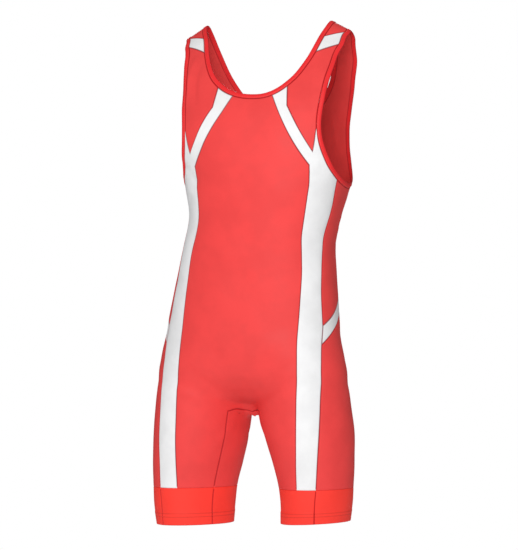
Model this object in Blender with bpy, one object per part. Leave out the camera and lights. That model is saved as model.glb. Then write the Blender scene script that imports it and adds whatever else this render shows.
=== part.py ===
"""A wrestling singlet, standing hollow in the shape that its cut and its stretch give it.

Metres, +Z up. The chest faces -Y and the garment's own left side is +X. The origin lies midway between
the crests of the two shoulder straps, which is where the garment is held up.

The cloth lies on a smooth general figure: a trunk and two legs, each a stack of rounded sections. The
cut is drawn on that figure as seams, the same on both sides. Each piece is a net of rows between its
seams, 0.15 mm short of each seam line, with a wall raised outwards. Last, the garment takes its stance.
"""

import math

import bpy
import numpy as np

# Driving sizes
WALL = 0.0012
BINDING_WALL = 0.0022
BINDING_WIDTH = 0.009
SEAM_GAP = 0.0003
BAND_TOP = -0.8390
HEM = -0.9060
LEG_START = -0.700

# The figure
LEG_TILT = math.radians(38)
LEG_SQUARE = 2.1
BLEND_TRUNK = 0.042
BLEND_LEGS = 0.030
SHOULDER_HEIGHT = -0.050
SHOULDER_DEPTH = 0.010
SHOULDER_QUARTER = 0.085
CROTCH_HEIGHT = -0.620
CROTCH_RADIUS = 0.090
REACH = 0.32
MARCH_STEPS = 96
HALVINGS = 32
SETTLE_TIMES = 12
SETTLE_STEP = 0.01
SLOPE_STEP = 1e-4
RUN_STEP = 5e-4
MITRE_LEAST = 0.08

# How many cells of the net lie along each stretch
BRANCH_ROWS = 7
CORNER_ROWS = 2
CHEST_ROWS = 12
HIP_BAND_ROWS = 2
SEAT_ROWS = 9
LEG_ROWS = 7
CROTCH_ROWS = 3
BAND_ROWS = 3
FRONT_LEG_COLUMNS = 4
STRIPE_COLUMNS = 2
SPIKE_COLUMNS = 2
SPIKE_ROWS = 4
STRAP_COLUMNS = 3
PATCH_ROWS = 2
YOKE_NECK_ROWS = 4
CREST_ROWS = 9
NECK_BACK_COLUMNS = 6
ARMHOLE_BACK_ROWS = 8
ARMHOLE_SIDE_COLUMNS = 4
GUSSET_COLUMNS = 5
BINDING_COLUMNS = 2
YOKE_ARM_ROWS = BRANCH_ROWS + YOKE_NECK_ROWS - SPIKE_ROWS
FRONT_COLUMNS = FRONT_LEG_COLUMNS + CROTCH_ROWS
BACK_COLUMNS = NECK_BACK_COLUMNS + STRAP_COLUMNS
SEAT_COLUMNS = BACK_COLUMNS + ARMHOLE_SIDE_COLUMNS


def table(columns, rows):
    """A dictionary of arrays, one for each named column, with its rows sorted by the first column."""
    ordered = sorted(rows)
    return dict(zip(columns.split(), np.array(ordered, float).T))


TRUNK = table("height half_width front back square centre_y", (
    (0.030, 0.0700, 0.020, 0.020, 2.20, 0.012),
    (0.009, 0.1190, 0.026, 0.028, 2.20, 0.012),
    (-0.010, 0.1545, 0.036, 0.040, 2.20, 0.010),
    (-0.030, 0.1760, 0.047, 0.052, 2.20, 0.008),
    (-0.060, 0.1880, 0.060, 0.068, 2.30, 0.005),
    (-0.100, 0.1880, 0.079, 0.088, 2.40, 0.002),
    (-0.150, 0.1790, 0.099, 0.102, 2.40, 0.000),
    (-0.200, 0.1690, 0.111, 0.109, 2.40, 0.000),
    (-0.250, 0.1600, 0.116, 0.111, 2.40, 0.000),
    (-0.290, 0.1520, 0.115, 0.108, 2.40, 0.000),
    (-0.350, 0.1395, 0.109, 0.099, 2.40, 0.000),
    (-0.400, 0.1412, 0.105, 0.091, 2.40, 0.000),
    (-0.443, 0.1470, 0.102, 0.091, 2.40, 0.000),
    (-0.516, 0.1580, 0.101, 0.105, 2.30, 0.000),
    (-0.545, 0.1611, 0.1005, 0.111, 2.27, 0.000),
    (-0.570, 0.1614, 0.100, 0.116, 2.25, 0.000),
    (-0.605, 0.1577, 0.096, 0.117, 2.20, 0.000),
    (-0.640, 0.1450, 0.084, 0.104, 2.20, 0.002),
    (-0.662, 0.1100, 0.063, 0.080, 2.10, 0.004),
    (-0.678, 0.0620, 0.036, 0.046, 2.00, 0.006),
    (-0.686, 0.0140, 0.010, 0.012, 2.00, 0.008),
))
LEG = table("height centre_x centre_y long short", (
    (-0.520, 0.0600, 0.000, 0.0300, 0.0300),
    (-0.580, 0.0790, 0.000, 0.0740, 0.0660),
    (-0.640, 0.0905, 0.002, 0.0892, 0.0785),
    (-0.700, 0.0985, 0.001, 0.0895, 0.0790),
    (-0.754, 0.1065, -0.004, 0.0845, 0.0745),
    (-0.791, 0.1118, -0.007, 0.0793, 0.0688),
    (-0.827, 0.1162, -0.009, 0.0740, 0.0632),
    (-0.864, 0.1183, -0.010, 0.0703, 0.0600),
    (-0.910, 0.1167, -0.010, 0.0647, 0.0567),
))
STANCE = table("height sway turn tilt", (
    (0.03, 0.0140, 2.0, 0.000),
    (-0.28, 0.0165, 2.0, 0.000),
    (-0.35, 0.0095, 3.0, 0.000),
    (-0.40, -0.0005, 3.5, 0.000),
    (-0.46, -0.0060, 3.2, 0.000),
    (-0.52, -0.0114, 3.0, 0.000),
    (-0.56, -0.0138, 2.2, 0.000),
    (-0.60, -0.0130, 1.0, 0.000),
    (-0.68, -0.0105, -3.0, 0.004),
    (-0.76, -0.0060, -6.8, 0.010),
    (-0.84, -0.0040, -9.2, 0.018),
    (-0.91, -0.0040, -10.5, 0.058),
))
RIGHT_TILT = 0.35
# How far the right front armhole is drawn outwards, by height, and where that fades out.
DRAW = table("height out", (
    (0.000, 0.0000),
    (-0.030, 0.0010),
    (-0.058, 0.0055),
    (-0.080, 0.0090),
    (-0.120, 0.0125),
    (-0.160, 0.0170),
    (-0.190, 0.0170),
    (-0.215, 0.0140),
    (-0.232, 0.0108),
    (-0.246, 0.0072),
    (-0.262, 0.0030),
    (-0.280, 0.0000),
))
DRAW_FADES_ACROSS = 0.085
DRAW_BACK = 0.030
DRAW_FADES_BACK = 0.080
# How far the crotch sits to the right, by height, and how far from the middle that fades out.
CROTCH_SHIFT = table("height right", (
    (-0.610, 0.0000),
    (-0.660, 0.0030),
    (-0.700, 0.0050),
    (-0.722, 0.0048),
    (-0.754, 0.0025),
    (-0.791, 0.0008),
    (-0.830, 0.0000),
))
CROTCH_FADES_ACROSS = 0.095
# How far the front of the right strap is drawn up, and its outer edge let down, by height.
RIGHT_STRAP = table("height up down", (
    (0.030, 0.0000, 0.0050),
    (0.000, 0.0005, 0.0050),
    (-0.022, 0.0040, 0.0030),
    (-0.045, 0.0050, 0.0005),
    (-0.070, 0.0038, 0.0000),
    (-0.110, 0.0012, 0.0000),
    (-0.150, 0.0000, 0.0000),
))
STRAP_MIDDLE = 0.110
STRAP_REACH = 0.050

# The cut, on the garment's left side. A named row is where a seam meets the edge.
# Neck edge: half width, and the way over the shoulder from its crest, minus in front.
NECK_EDGE = (
    ("front_centre", 0.0000, -0.163),
    ("", 0.0160, -0.162),
    ("branch_inner", 0.0310, -0.158),
    ("", 0.0430, -0.152),
    ("branch_outer", 0.0555, -0.143),
    ("", 0.0680, -0.131),
    ("", 0.0820, -0.111),
    ("patch_lower", 0.0965, -0.083),
    ("patch_upper", 0.1080, -0.044),
    ("crest", 0.1190, 0.000),
    ("", 0.1150, 0.045),
    ("", 0.1060, 0.090),
    ("back_strap", 0.0940, 0.125),
    ("", 0.0740, 0.158),
    ("", 0.0500, 0.181),
    ("", 0.0240, 0.192),
    ("back_centre", 0.0000, 0.195),
)
# Armhole edge, seen from the side: depth (minus in front) and height.
ARMHOLE_EDGE = (
    ("crest", 0.0125, -0.0120),
    ("patch_upper", -0.0060, -0.0190),
    ("patch_lower", -0.0255, -0.0415),
    ("", -0.0478, -0.0780),
    ("", -0.0629, -0.1076),
    ("", -0.0750, -0.1404),
    ("", -0.0819, -0.1693),
    ("spike_tip", -0.0840, -0.1900),
    ("", -0.0820, -0.2172),
    ("", -0.0750, -0.2390),
    ("", -0.0640, -0.2575),
    ("side_seam", -0.0445, -0.2735),
    ("", -0.0190, -0.2830),
    ("", 0.0120, -0.2855),
    ("", 0.0400, -0.2770),
    ("back_low", 0.0630, -0.2580),
    ("", 0.0770, -0.2280),
    ("", 0.0810, -0.1900),
    ("", 0.0760, -0.1450),
    ("back_strap", 0.0660, -0.1000),
    ("", 0.0490, -0.0620),
    ("", 0.0320, -0.0280),
)
# Seams seen from the front: half width and height.
BRANCH_INNER = ((0.0500, -0.1630), (0.0715, -0.2040), (0.0860, -0.2275))
KINK = (0.1065, -0.2568)
STRIPE_INNER = (
    (0.1068, -0.290),
    (0.1030, -0.320),
    (0.1003, -0.353),
    (0.1010, -0.380),
    (0.1045, -0.407),
    (0.1080, -0.443),
    (0.1100, -0.500),
    (0.1112, -0.570),
    (0.1140, -0.642),
    (0.1150, LEG_START),
)
STRIPE_INNER_LEG = ((0.1157, -0.750), (0.1155, -0.790), (0.1150, BAND_TOP))
BRANCH_CORNER = (0.0640, -0.1500)
BRANCH_OUTER = ((0.0880, -0.1940),)
NOTCH = (0.1110, -0.2320)
SPIKE_FOOT = (0.1280, -0.2680)
STRIPE_OUTER = (
    (0.1396, -0.3175),
    (0.1335, -0.3533),
    (0.1322, -0.3800),
    (0.1338, -0.4070),
    (0.1364, -0.4430),
    (0.1396, -0.4790),
    (0.1441, -0.5150),
    (0.1475, -0.5430),
)
STRIPE_OUTER_BAND = ((0.1492, -0.5770),)
STRIPE_OUTER_SEAT = ((0.1525, -0.6400), (0.1535, LEG_START))
STRIPE_OUTER_LEG = ((0.1530, -0.750), (0.1515, -0.790), (0.1490, BAND_TOP))
STRIPE_OUTER_HEM = ((0.1465, -0.871), (0.1445, HEM))
# Hip band: share of the way from the side seam to the centre back, and the heights of its two edges.
HIP_BAND = table("way upper lower", (
    (0.00, -0.543, -0.577),
    (0.12, -0.519, -0.552),
    (0.25, -0.492, -0.523),
    (0.50, -0.460, -0.491),
    (0.75, -0.444, -0.475),
    (1.00, -0.438, -0.469),
))
# Gusset: where its front and back seams start under the crotch, and round the inner leg below.
CROTCH_FRONT_ANGLE = math.radians(0)
CROTCH_BACK_ANGLE = math.radians(44)
GUSSET_FRONT_TOP = ((0.0100, -0.0080, -0.7000), (0.0208, -0.0265, -0.6965), (0.0318, -0.0410, -0.6998))
GUSSET_BACK_TOP = ((0.0130, 0.0600, -0.6785), (0.0270, 0.0640, -0.6860), (0.0375, 0.0630, -0.7000))
GUSSET_FRONT_ANGLE = math.radians(-149)
GUSSET_BACK_ANGLE = math.radians(136)
BACK_YOKE_HEIGHT = -0.240


def hermite(at, knots, values):
    """A smooth curve through the values: a cubic between knots, its slope there weighed from both sides."""
    gap = np.diff(knots)
    slope = np.diff(values) / gap
    lean = np.concatenate([
        slope[:1],
        (slope[:-1] * gap[1:] + slope[1:] * gap[:-1]) / (gap[:-1] + gap[1:]),
        slope[-1:],
    ])
    at = np.clip(at, knots[0], knots[-1])
    i = np.clip(np.searchsorted(knots, at) - 1, 0, len(knots) - 2)
    t = (at - knots[i]) / gap[i]
    start = (1 + 2 * t) * (1 - t) ** 2 * values[i] + t * (1 - t) ** 2 * gap[i] * lean[i]
    end = t * t * (3 - 2 * t) * values[i + 1] + t * t * (t - 1) * gap[i] * lean[i + 1]
    return start + end


def read(from_table, column, at):
    """A column of a table, read smoothly at the given values of its first column."""
    return hermite(at, next(iter(from_table.values())), from_table[column])


def blend_least(a, b, width):
    """The lesser of two fields, rounded where they are closer than the width."""
    near = np.clip(1 - np.abs(a - b) / width, 0, None)
    return np.minimum(a, b) - near * near * width / 4


def rounded(u, v, half_u, half_v, square):
    """Below zero inside a rounded section: the power mean of both shares, less one, times its size."""
    share = (np.abs(u / half_u) ** square + np.abs(v / half_v) ** square) ** (1 / square)
    return (share - 1) * np.sqrt(half_u * half_v)


def trunk_field(p):
    """The trunk: rounded sections with their own depth in front and behind."""
    x, y, z = np.moveaxis(p, -1, 0)
    from_centre = y - read(TRUNK, "centre_y", z)
    depth = np.where(from_centre < 0, read(TRUNK, "front", z), read(TRUNK, "back", z))
    ends = TRUNK["height"]
    past_ends = np.clip(z - ends[-1], 0, None) + np.clip(ends[0] - z, 0, None)
    section = rounded(x, from_centre, read(TRUNK, "half_width", z), depth, read(TRUNK, "square", z))
    return section + past_ends


def leg_field(p, side):
    """One leg: rounded sections, longer from front outer to back inner."""
    z = p[..., 2]
    dx = side * p[..., 0] - read(LEG, "centre_x", z)
    dy = p[..., 1] - read(LEG, "centre_y", z)
    u = dx * math.sin(LEG_TILT) - dy * math.cos(LEG_TILT)
    v = dx * math.cos(LEG_TILT) + dy * math.sin(LEG_TILT)
    section = rounded(u, v, read(LEG, "long", z), read(LEG, "short", z), LEG_SQUARE)
    return section + np.clip(z - LEG["height"][-1], 0, None)


def figure(p):
    """Zero on the figure's surface, below zero inside it."""
    legs = blend_least(leg_field(p, 1), leg_field(p, -1), BLEND_LEGS)
    return blend_least(trunk_field(p), legs, BLEND_TRUNK)


def outward(p):
    """The way out of the figure's surface, from the field's differences along X, Y and Z."""
    steps = SLOPE_STEP * np.eye(3)
    slope = np.stack([figure(p + step) - figure(p - step) for step in steps], -1)
    return slope / (2 * SLOPE_STEP)


def unit(v):
    return v / np.linalg.norm(v, axis=-1, keepdims=True)


def settle(p):
    """Points near the surface moved onto it along the field's slope."""
    for _ in range(SETTLE_TIMES):
        slope = outward(p)
        step = figure(p)[..., None] * slope / (slope**2).sum(-1, keepdims=True)
        p = p - np.clip(step, -SETTLE_STEP, SETTLE_STEP)
    return p


def cast(origin, direction):
    """Where rays from inside the figure first leave it: a march, then halving."""
    reaches = np.linspace(0, REACH, MARCH_STEPS + 1)
    outside = np.stack([figure(origin + direction * reach) > 0 for reach in reaches])
    first = np.argmax(outside, axis=0)
    low, high = reaches[np.maximum(first - 1, 0)], reaches[first]
    for _ in range(HALVINGS):
        middle = (low + high) / 2
        inside = figure(origin + direction * middle[..., None]) < 0
        low, high = np.where(inside, middle, low), np.where(inside, high, middle)
    return origin + direction * high[..., None]


def stacked(*columns):
    return np.stack(np.broadcast_arrays(*columns), -1).astype(float)


def over_shoulder(x, way):
    """Half width x, and the way over the shoulder from its crest: level rays in front and behind, and
    rays fanned through a half turn between them."""
    fan = np.clip(way / SHOULDER_QUARTER, -1, 1) * math.pi / 2
    below = np.clip(np.abs(way) - SHOULDER_QUARTER, 0, None)
    origin = stacked(x, SHOULDER_DEPTH, SHOULDER_HEIGHT - below)
    return cast(origin, stacked(0, np.sin(fan), np.cos(fan)))


def from_side(y, z):
    return cast(stacked(0, y, z), stacked(1, 0 * y, 0 * y))


def from_front(x, z):
    return cast(stacked(x, 0, z), stacked(0 * x, -1, 0 * x))


def centre_line(facing, top, angle, cells):
    """Down the middle in front (facing -1) or behind (+1), then under the crotch to an angle."""
    straight = top - CROTCH_HEIGHT
    arc = CROTCH_RADIUS * (math.pi / 2 - facing * angle)
    way = np.linspace(0, straight + arc, cells + 1)
    turn = np.clip(way - straight, 0, None) / CROTCH_RADIUS
    height = top - np.minimum(way, straight)
    return cast(stacked(0, 0, height), stacked(0, facing * np.cos(turn), -np.sin(turn)))


def crotch_line(cells):
    """Under the crotch from the gusset's front seam to its back seam."""
    angle = np.linspace(CROTCH_FRONT_ANGLE, CROTCH_BACK_ANGLE, cells + 1)
    return cast(stacked(0, 0, CROTCH_HEIGHT + 0 * angle), stacked(0, np.sin(angle), -np.cos(angle)))


def round_axis(centre, start, end, cells):
    """Level rays from a standing axis, its angle and height going evenly from one point to another."""
    angles = [math.atan2(p[1] - centre[1], p[0] - centre[0]) for p in (start, end)]
    angle = np.linspace(*angles, cells + 1)
    height = np.linspace(start[2], end[2], cells + 1)
    return cast(stacked(*centre, height), stacked(np.cos(angle), np.sin(angle), 0))


def down_leg(angle, heights):
    """Points down the leg at one angle about its centre."""
    origin = stacked(read(LEG, "centre_x", heights), read(LEG, "centre_y", heights), heights)
    return cast(origin, stacked(math.cos(angle), math.sin(angle), 0 * heights))


def along(points, cells):
    """Evenly spaced places on a smooth path through a few points, by their distance."""
    points = np.array(points, float)
    knots = np.concatenate([[0], np.cumsum(np.linalg.norm(np.diff(points, axis=0), axis=1))])
    at = np.linspace(0, knots[-1], cells + 1)
    return np.stack([hermite(at, knots, column) for column in points.T], -1)


def front_seam(points, cells):
    return from_front(*along(points, cells).T)


def straight_seam(start, end, cells):
    return settle(along((start, end), cells))


class Edge:
    """A closed edge of the cloth, through the rows of a table, with the seam of its binding inside it."""

    def __init__(self, rows, onto_figure):
        names = [row[0] for row in rows]
        points = np.array([row[1:] for row in rows], float)
        gaps = np.linalg.norm(points - np.roll(points, 1, axis=0), axis=1)
        at = np.cumsum(gaps) - gaps[0]
        self.around = gaps.sum()
        self.at = {name: place for name, place in zip(names, at) if name}
        wrap = 3
        self.knots = np.concatenate([at[-wrap:] - self.around, at, at[:wrap] + self.around])
        self.points = np.concatenate([points[-wrap:], points, points[:wrap]])
        self.onto_figure = onto_figure

    def edge(self, at):
        at = np.mod(at, self.around)
        return self.onto_figure(*(hermite(at, self.knots, column) for column in self.points.T))

    def inside(self, at, distance):
        """The edge moved into the cloth: across its own run and across the figure's way out."""
        here = self.edge(at)
        run = unit(self.edge(at + RUN_STEP) - self.edge(at - RUN_STEP))
        return settle(here + distance * unit(np.cross(run, outward(here))))

    def between(self, start, end, cells, distance=BINDING_WIDTH):
        return self.inside(np.linspace(start, end, cells + 1), distance)


def neck_rows():
    """The neck edge all round: down the left half, then back up the right half."""
    right_half = [(name and name + "_right", -x, way) for name, x, way in NECK_EDGE[-2:0:-1]]
    return list(NECK_EDGE) + right_half


def coons(top, bottom, left, right):
    """A net between four runs of points: each pair spread across, less the spread of the corners."""
    u = np.linspace(0, 1, len(top))[None, :, None]
    v = np.linspace(0, 1, len(left))[:, None, None]
    down = (1 - v) * top[None] + v * bottom[None]
    across = (1 - u) * left[:, None] + u * right[:, None]
    corners = (1 - v) * ((1 - u) * top[0] + u * top[-1]) + v * ((1 - u) * bottom[0] + u * bottom[-1])
    net = settle(down + across - corners)
    net[0], net[-1], net[:, 0], net[:, -1] = top, bottom, left, right
    return net


def join(*runs):
    """Runs of points laid end to end, each starting where the last one ends."""
    return np.concatenate([runs[0]] + [run[1:] for run in runs[1:]])


def flat(p):
    """A point as it is seen from the front."""
    return p[0], p[2]


def leg_centre(height):
    return float(read(LEG, "centre_x", height)), float(read(LEG, "centre_y", height))


def inner_ring(height):
    """The inner leg's run at one height, from the gusset's front seam round to its back seam."""
    angle = np.linspace(GUSSET_FRONT_ANGLE, GUSSET_BACK_ANGLE - 2 * math.pi, GUSSET_COLUMNS + 1)
    origin = stacked(*leg_centre(height), height + 0 * angle)
    return cast(origin, stacked(np.cos(angle), np.sin(angle), 0))


def gusset_leg(top, angle):
    """A gusset seam down the leg: it leaves its top point and eases over to the seam's angle."""
    run = down_leg(angle, np.linspace(top[2], BAND_TOP, LEG_ROWS + 1))
    ease = np.linspace(1, 0, LEG_ROWS + 1)[:, None] ** 3
    return settle(run + ease * (top - run[0]))


def hip_edge(start, column):
    """An edge of the hip band, from the middle of the back round to its point on the side seam."""
    way = np.linspace(1, 0, SEAT_COLUMNS + 1)
    first = math.atan2(start[1], start[0])
    angle = first + way * (math.pi / 2 - first)
    return cast(stacked(0, 0, read(HIP_BAND, column, way)), stacked(np.cos(angle), np.sin(angle), 0))


def back_middle(top, bottom, cells):
    heights = np.linspace(top, bottom, cells + 1)
    return cast(stacked(0, 0, heights), stacked(0 * heights, 1, 0))


def make_cut():
    """Every seam of the left half, then the nets of each piece's left half, by name."""
    neck = Edge(neck_rows(), over_shoulder)
    arm = Edge(ARMHOLE_EDGE, from_side)
    n, a = neck.at, arm.at
    neck_front = neck.between(n["front_centre"], n["branch_inner"], FRONT_COLUMNS)
    neck_branch = neck.between(n["branch_inner"], n["branch_outer"], STRIPE_COLUMNS)
    neck_yoke = neck.between(n["branch_outer"], n["patch_lower"], YOKE_NECK_ROWS)
    neck_patch = neck.between(n["patch_lower"], n["patch_upper"], PATCH_ROWS)
    neck_crest = neck.between(n["patch_upper"], n["back_strap"], CREST_ROWS)
    neck_back = neck.between(n["back_strap"], n["back_centre"], NECK_BACK_COLUMNS)
    arm_crest = arm.between(a["patch_upper"], a["back_strap"] - arm.around, CREST_ROWS)
    arm_patch = arm.between(a["patch_lower"], a["patch_upper"], PATCH_ROWS)
    arm_yoke = arm.between(a["spike_tip"], a["patch_lower"], YOKE_ARM_ROWS)
    arm_spike = arm.between(a["spike_tip"], a["side_seam"], SPIKE_ROWS)
    arm_side = arm.between(a["back_low"], a["side_seam"], ARMHOLE_SIDE_COLUMNS)
    arm_back = arm.between(a["back_strap"], a["back_low"], ARMHOLE_BACK_ROWS)

    # Seams of the stripe, from the neck down to the hem
    body_rows = CHEST_ROWS + HIP_BAND_ROWS + SEAT_ROWS
    inner_branch = front_seam((flat(neck_branch[0]),) + BRANCH_INNER + (KINK,), BRANCH_ROWS)
    outer_branch = join(
        front_seam((flat(neck_branch[-1]), BRANCH_CORNER), CORNER_ROWS),
        front_seam((BRANCH_CORNER,) + BRANCH_OUTER + (NOTCH,), BRANCH_ROWS - CORNER_ROWS),
    )
    inner_body = front_seam((KINK,) + STRIPE_INNER, body_rows)
    inner_leg = front_seam((STRIPE_INNER[-1],) + STRIPE_INNER_LEG, LEG_ROWS)
    outer_chest = front_seam((flat(arm_spike[-1]),) + STRIPE_OUTER, CHEST_ROWS)
    outer_hip = front_seam((STRIPE_OUTER[-1],) + STRIPE_OUTER_BAND, HIP_BAND_ROWS)
    outer_seat = front_seam((STRIPE_OUTER_BAND[-1],) + STRIPE_OUTER_SEAT, SEAT_ROWS)
    outer_leg = front_seam((STRIPE_OUTER_SEAT[-1],) + STRIPE_OUTER_LEG, LEG_ROWS)
    outer_hem = front_seam((STRIPE_OUTER_LEG[-1],) + STRIPE_OUTER_HEM, BAND_ROWS)
    notch, kink, tip = outer_branch[-1], inner_branch[-1], arm_spike[0]
    spike_inner = straight_seam(tip, notch, SPIKE_ROWS)
    across_branch = straight_seam(kink, notch, STRIPE_COLUMNS)
    across_spike = front_seam((NOTCH, SPIKE_FOOT, flat(arm_spike[-1])), SPIKE_COLUMNS)

    # Seams of the gusset, from under the crotch down the inner leg
    front_centre = centre_line(-1, neck_front[0][2], CROTCH_FRONT_ANGLE, BRANCH_ROWS + body_rows)
    crotch = crotch_line(GUSSET_COLUMNS)
    gusset_front_top = settle(along((crotch[0],) + GUSSET_FRONT_TOP, CROTCH_ROWS))
    gusset_back_top = settle(along((crotch[-1],) + GUSSET_BACK_TOP, CROTCH_ROWS))
    gusset_front_leg = gusset_leg(gusset_front_top[-1], GUSSET_FRONT_ANGLE)
    gusset_back_leg = gusset_leg(gusset_back_top[-1], GUSSET_BACK_ANGLE)
    hem_heights = np.linspace(BAND_TOP, HEM, BAND_ROWS + 1)
    gusset_front_hem = down_leg(GUSSET_FRONT_ANGLE, hem_heights)
    gusset_back_hem = down_leg(GUSSET_BACK_ANGLE, hem_heights)

    # Runs round the leg: at the top of the thigh, at the top of the leg band and at the hem
    back_columns = SEAT_COLUMNS - CROTCH_ROWS
    stripe_columns = STRIPE_COLUMNS + SPIKE_COLUMNS
    thigh, band, hem = (leg_centre(height) for height in (LEG_START, BAND_TOP, HEM))
    thigh_front = round_axis(thigh, gusset_front_top[-1], inner_body[-1], FRONT_LEG_COLUMNS)
    thigh_back = round_axis(thigh, gusset_back_top[-1], outer_seat[-1], back_columns)
    band_front = round_axis(band, gusset_front_leg[-1], inner_leg[-1], FRONT_LEG_COLUMNS)
    band_stripe = round_axis(band, inner_leg[-1], outer_leg[-1], stripe_columns)
    band_back = round_axis(band, gusset_back_leg[-1], outer_leg[-1], back_columns)
    hem_front = round_axis(hem, gusset_front_hem[-1], outer_hem[-1], FRONT_LEG_COLUMNS + stripe_columns)
    hem_back = round_axis(hem, gusset_back_hem[-1], outer_hem[-1], back_columns)

    # Seams of the back and across the straps
    hip_upper = hip_edge(outer_hip[0], "upper")
    hip_lower = hip_edge(outer_hip[-1], "lower")
    yoke_middle = back_middle(neck_back[-1][2], BACK_YOKE_HEIGHT, ARMHOLE_BACK_ROWS)
    back_yoke = round_axis((0, 0), yoke_middle[-1], arm_back[-1], BACK_COLUMNS)
    strap_end = straight_seam(neck_crest[-1], arm_crest[-1], STRAP_COLUMNS)
    patch_lower = straight_seam(neck_patch[0], arm_patch[0], STRAP_COLUMNS)
    patch_upper = straight_seam(neck_patch[-1], arm_patch[-1], STRAP_COLUMNS)
    seat_centre = centre_line(1, hip_lower[0][2], CROTCH_BACK_ANGLE, SEAT_ROWS)

    return {
        "front_panel": (
            coons(
                neck_front, join(gusset_front_top, thigh_front),
                front_centre, join(inner_branch, inner_body),
            ),
            coons(thigh_front, band_front, gusset_front_leg, inner_leg),
        ),
        "stripe": (
            coons(neck_branch, across_branch, inner_branch, outer_branch),
            coons(np.repeat(tip[None], SPIKE_COLUMNS + 1, 0), across_spike, spike_inner, arm_spike),
            coons(
                join(across_branch, across_spike), band_stripe,
                join(inner_body, inner_leg), join(outer_chest, outer_hip, outer_seat, outer_leg),
            ),
        ),
        "chest_yoke": (
            coons(
                patch_lower, np.repeat(notch[None], STRAP_COLUMNS + 1, 0),
                join(neck_yoke[::-1], outer_branch), join(arm_yoke[::-1], spike_inner),
            ),
        ),
        "strap_patch": (coons(patch_upper, patch_lower, neck_patch[::-1], arm_patch[::-1]),),
        "back_panel": (
            coons(patch_upper, strap_end, neck_crest, arm_crest),
            coons(join(neck_back[::-1], strap_end), back_yoke, yoke_middle, arm_back),
            coons(
                join(back_yoke, arm_side), hip_upper,
                back_middle(BACK_YOKE_HEIGHT, hip_upper[0][2], CHEST_ROWS), outer_chest,
            ),
        ),
        "hip_band": (
            coons(
                hip_upper, hip_lower,
                back_middle(hip_upper[0][2], hip_lower[0][2], HIP_BAND_ROWS), outer_hip,
            ),
        ),
        "seat_leg": (
            coons(hip_lower, join(gusset_back_top, thigh_back), seat_centre, outer_seat),
            coons(thigh_back, band_back, gusset_back_leg, outer_leg),
        ),
        "gusset": (
            coons(
                crotch, inner_ring(BAND_TOP),
                join(gusset_front_top, gusset_front_leg), join(gusset_back_top, gusset_back_leg),
            ),
        ),
        "leg_band_front": (
            coons(join(band_front, band_stripe), hem_front, gusset_front_hem, outer_hem),
        ),
        "leg_band_back": (coons(band_back, hem_back, gusset_back_hem, outer_hem),),
        "leg_band_inner": (
            coons(inner_ring(BAND_TOP), inner_ring(HEM), gusset_front_hem, gusset_back_hem),
        ),
        "neck_binding": (binding_net(neck, neck_stations(n)),),
        "armhole_binding": (binding_net(arm, armhole_stations(a, arm.around)),),
    }


def spread(places, cells):
    """Places along an edge: each stretch between two named places cut into its number of cells."""
    stretches = zip(places[:-1], places[1:], cells)
    return join(*(np.linspace(start, end, count + 1) for start, end, count in stretches))


def neck_stations(n):
    """Where the neck seam's points lie, on the left half."""
    names = "front_centre branch_inner branch_outer patch_lower patch_upper back_strap back_centre"
    cells = (FRONT_COLUMNS, STRIPE_COLUMNS, YOKE_NECK_ROWS, PATCH_ROWS, CREST_ROWS, NECK_BACK_COLUMNS)
    return spread([n[name] for name in names.split()], cells)


def armhole_stations(a, around):
    """Where the armhole seam's points lie, all round."""
    names = "patch_upper patch_lower spike_tip side_seam back_low back_strap"
    cells = (PATCH_ROWS, YOKE_ARM_ROWS, SPIKE_ROWS, ARMHOLE_SIDE_COLUMNS, ARMHOLE_BACK_ROWS, CREST_ROWS)
    return spread([a[name] for name in names.split()] + [a["patch_upper"] + around], cells)


def binding_net(edge, stations):
    """A strip from the open edge in to the seam, a few cells wide."""
    return np.stack([
        edge.inside(stations, share * BINDING_WIDTH)
        for share in np.linspace(0, 1, BINDING_COLUMNS + 1)
    ])


def mirrored(net):
    return net * np.array((-1, 1, 1))


def fade(share):
    """Smoothly from 0 to 1 as the share goes from 0 to 1."""
    share = np.clip(share, 0, 1)
    return share * share * (3 - 2 * share)


def take_stance(p):
    """The garment's stance. The right side of the chest is drawn outwards, each height turns a little
    about the middle and moves sideways, and the legs tilt so that the left hem is the higher one."""
    x, y, z = np.moveaxis(p, -1, 0)
    front = fade((DRAW_BACK - y) / DRAW_FADES_BACK)
    near_middle = fade(1 - np.abs(x) / CROTCH_FADES_ACROSS)
    drawn_up = read(RIGHT_STRAP, "up", z) * fade(-x / DRAW_FADES_ACROSS) * front
    let_down = read(RIGHT_STRAP, "down", z) * fade((-x - STRAP_MIDDLE) / STRAP_REACH)
    out = read(DRAW, "out", z) * fade(-x / DRAW_FADES_ACROSS) * front
    x = x - out - read(CROTCH_SHIFT, "right", z) * near_middle
    turn = np.radians(read(STANCE, "turn", z))
    raised = z + read(STANCE, "tilt", z) * np.where(x > 0, x, RIGHT_TILT * x) + drawn_up - let_down
    return np.stack([x - y * np.tan(turn) + read(STANCE, "sway", z), y, raised], -1)


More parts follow.
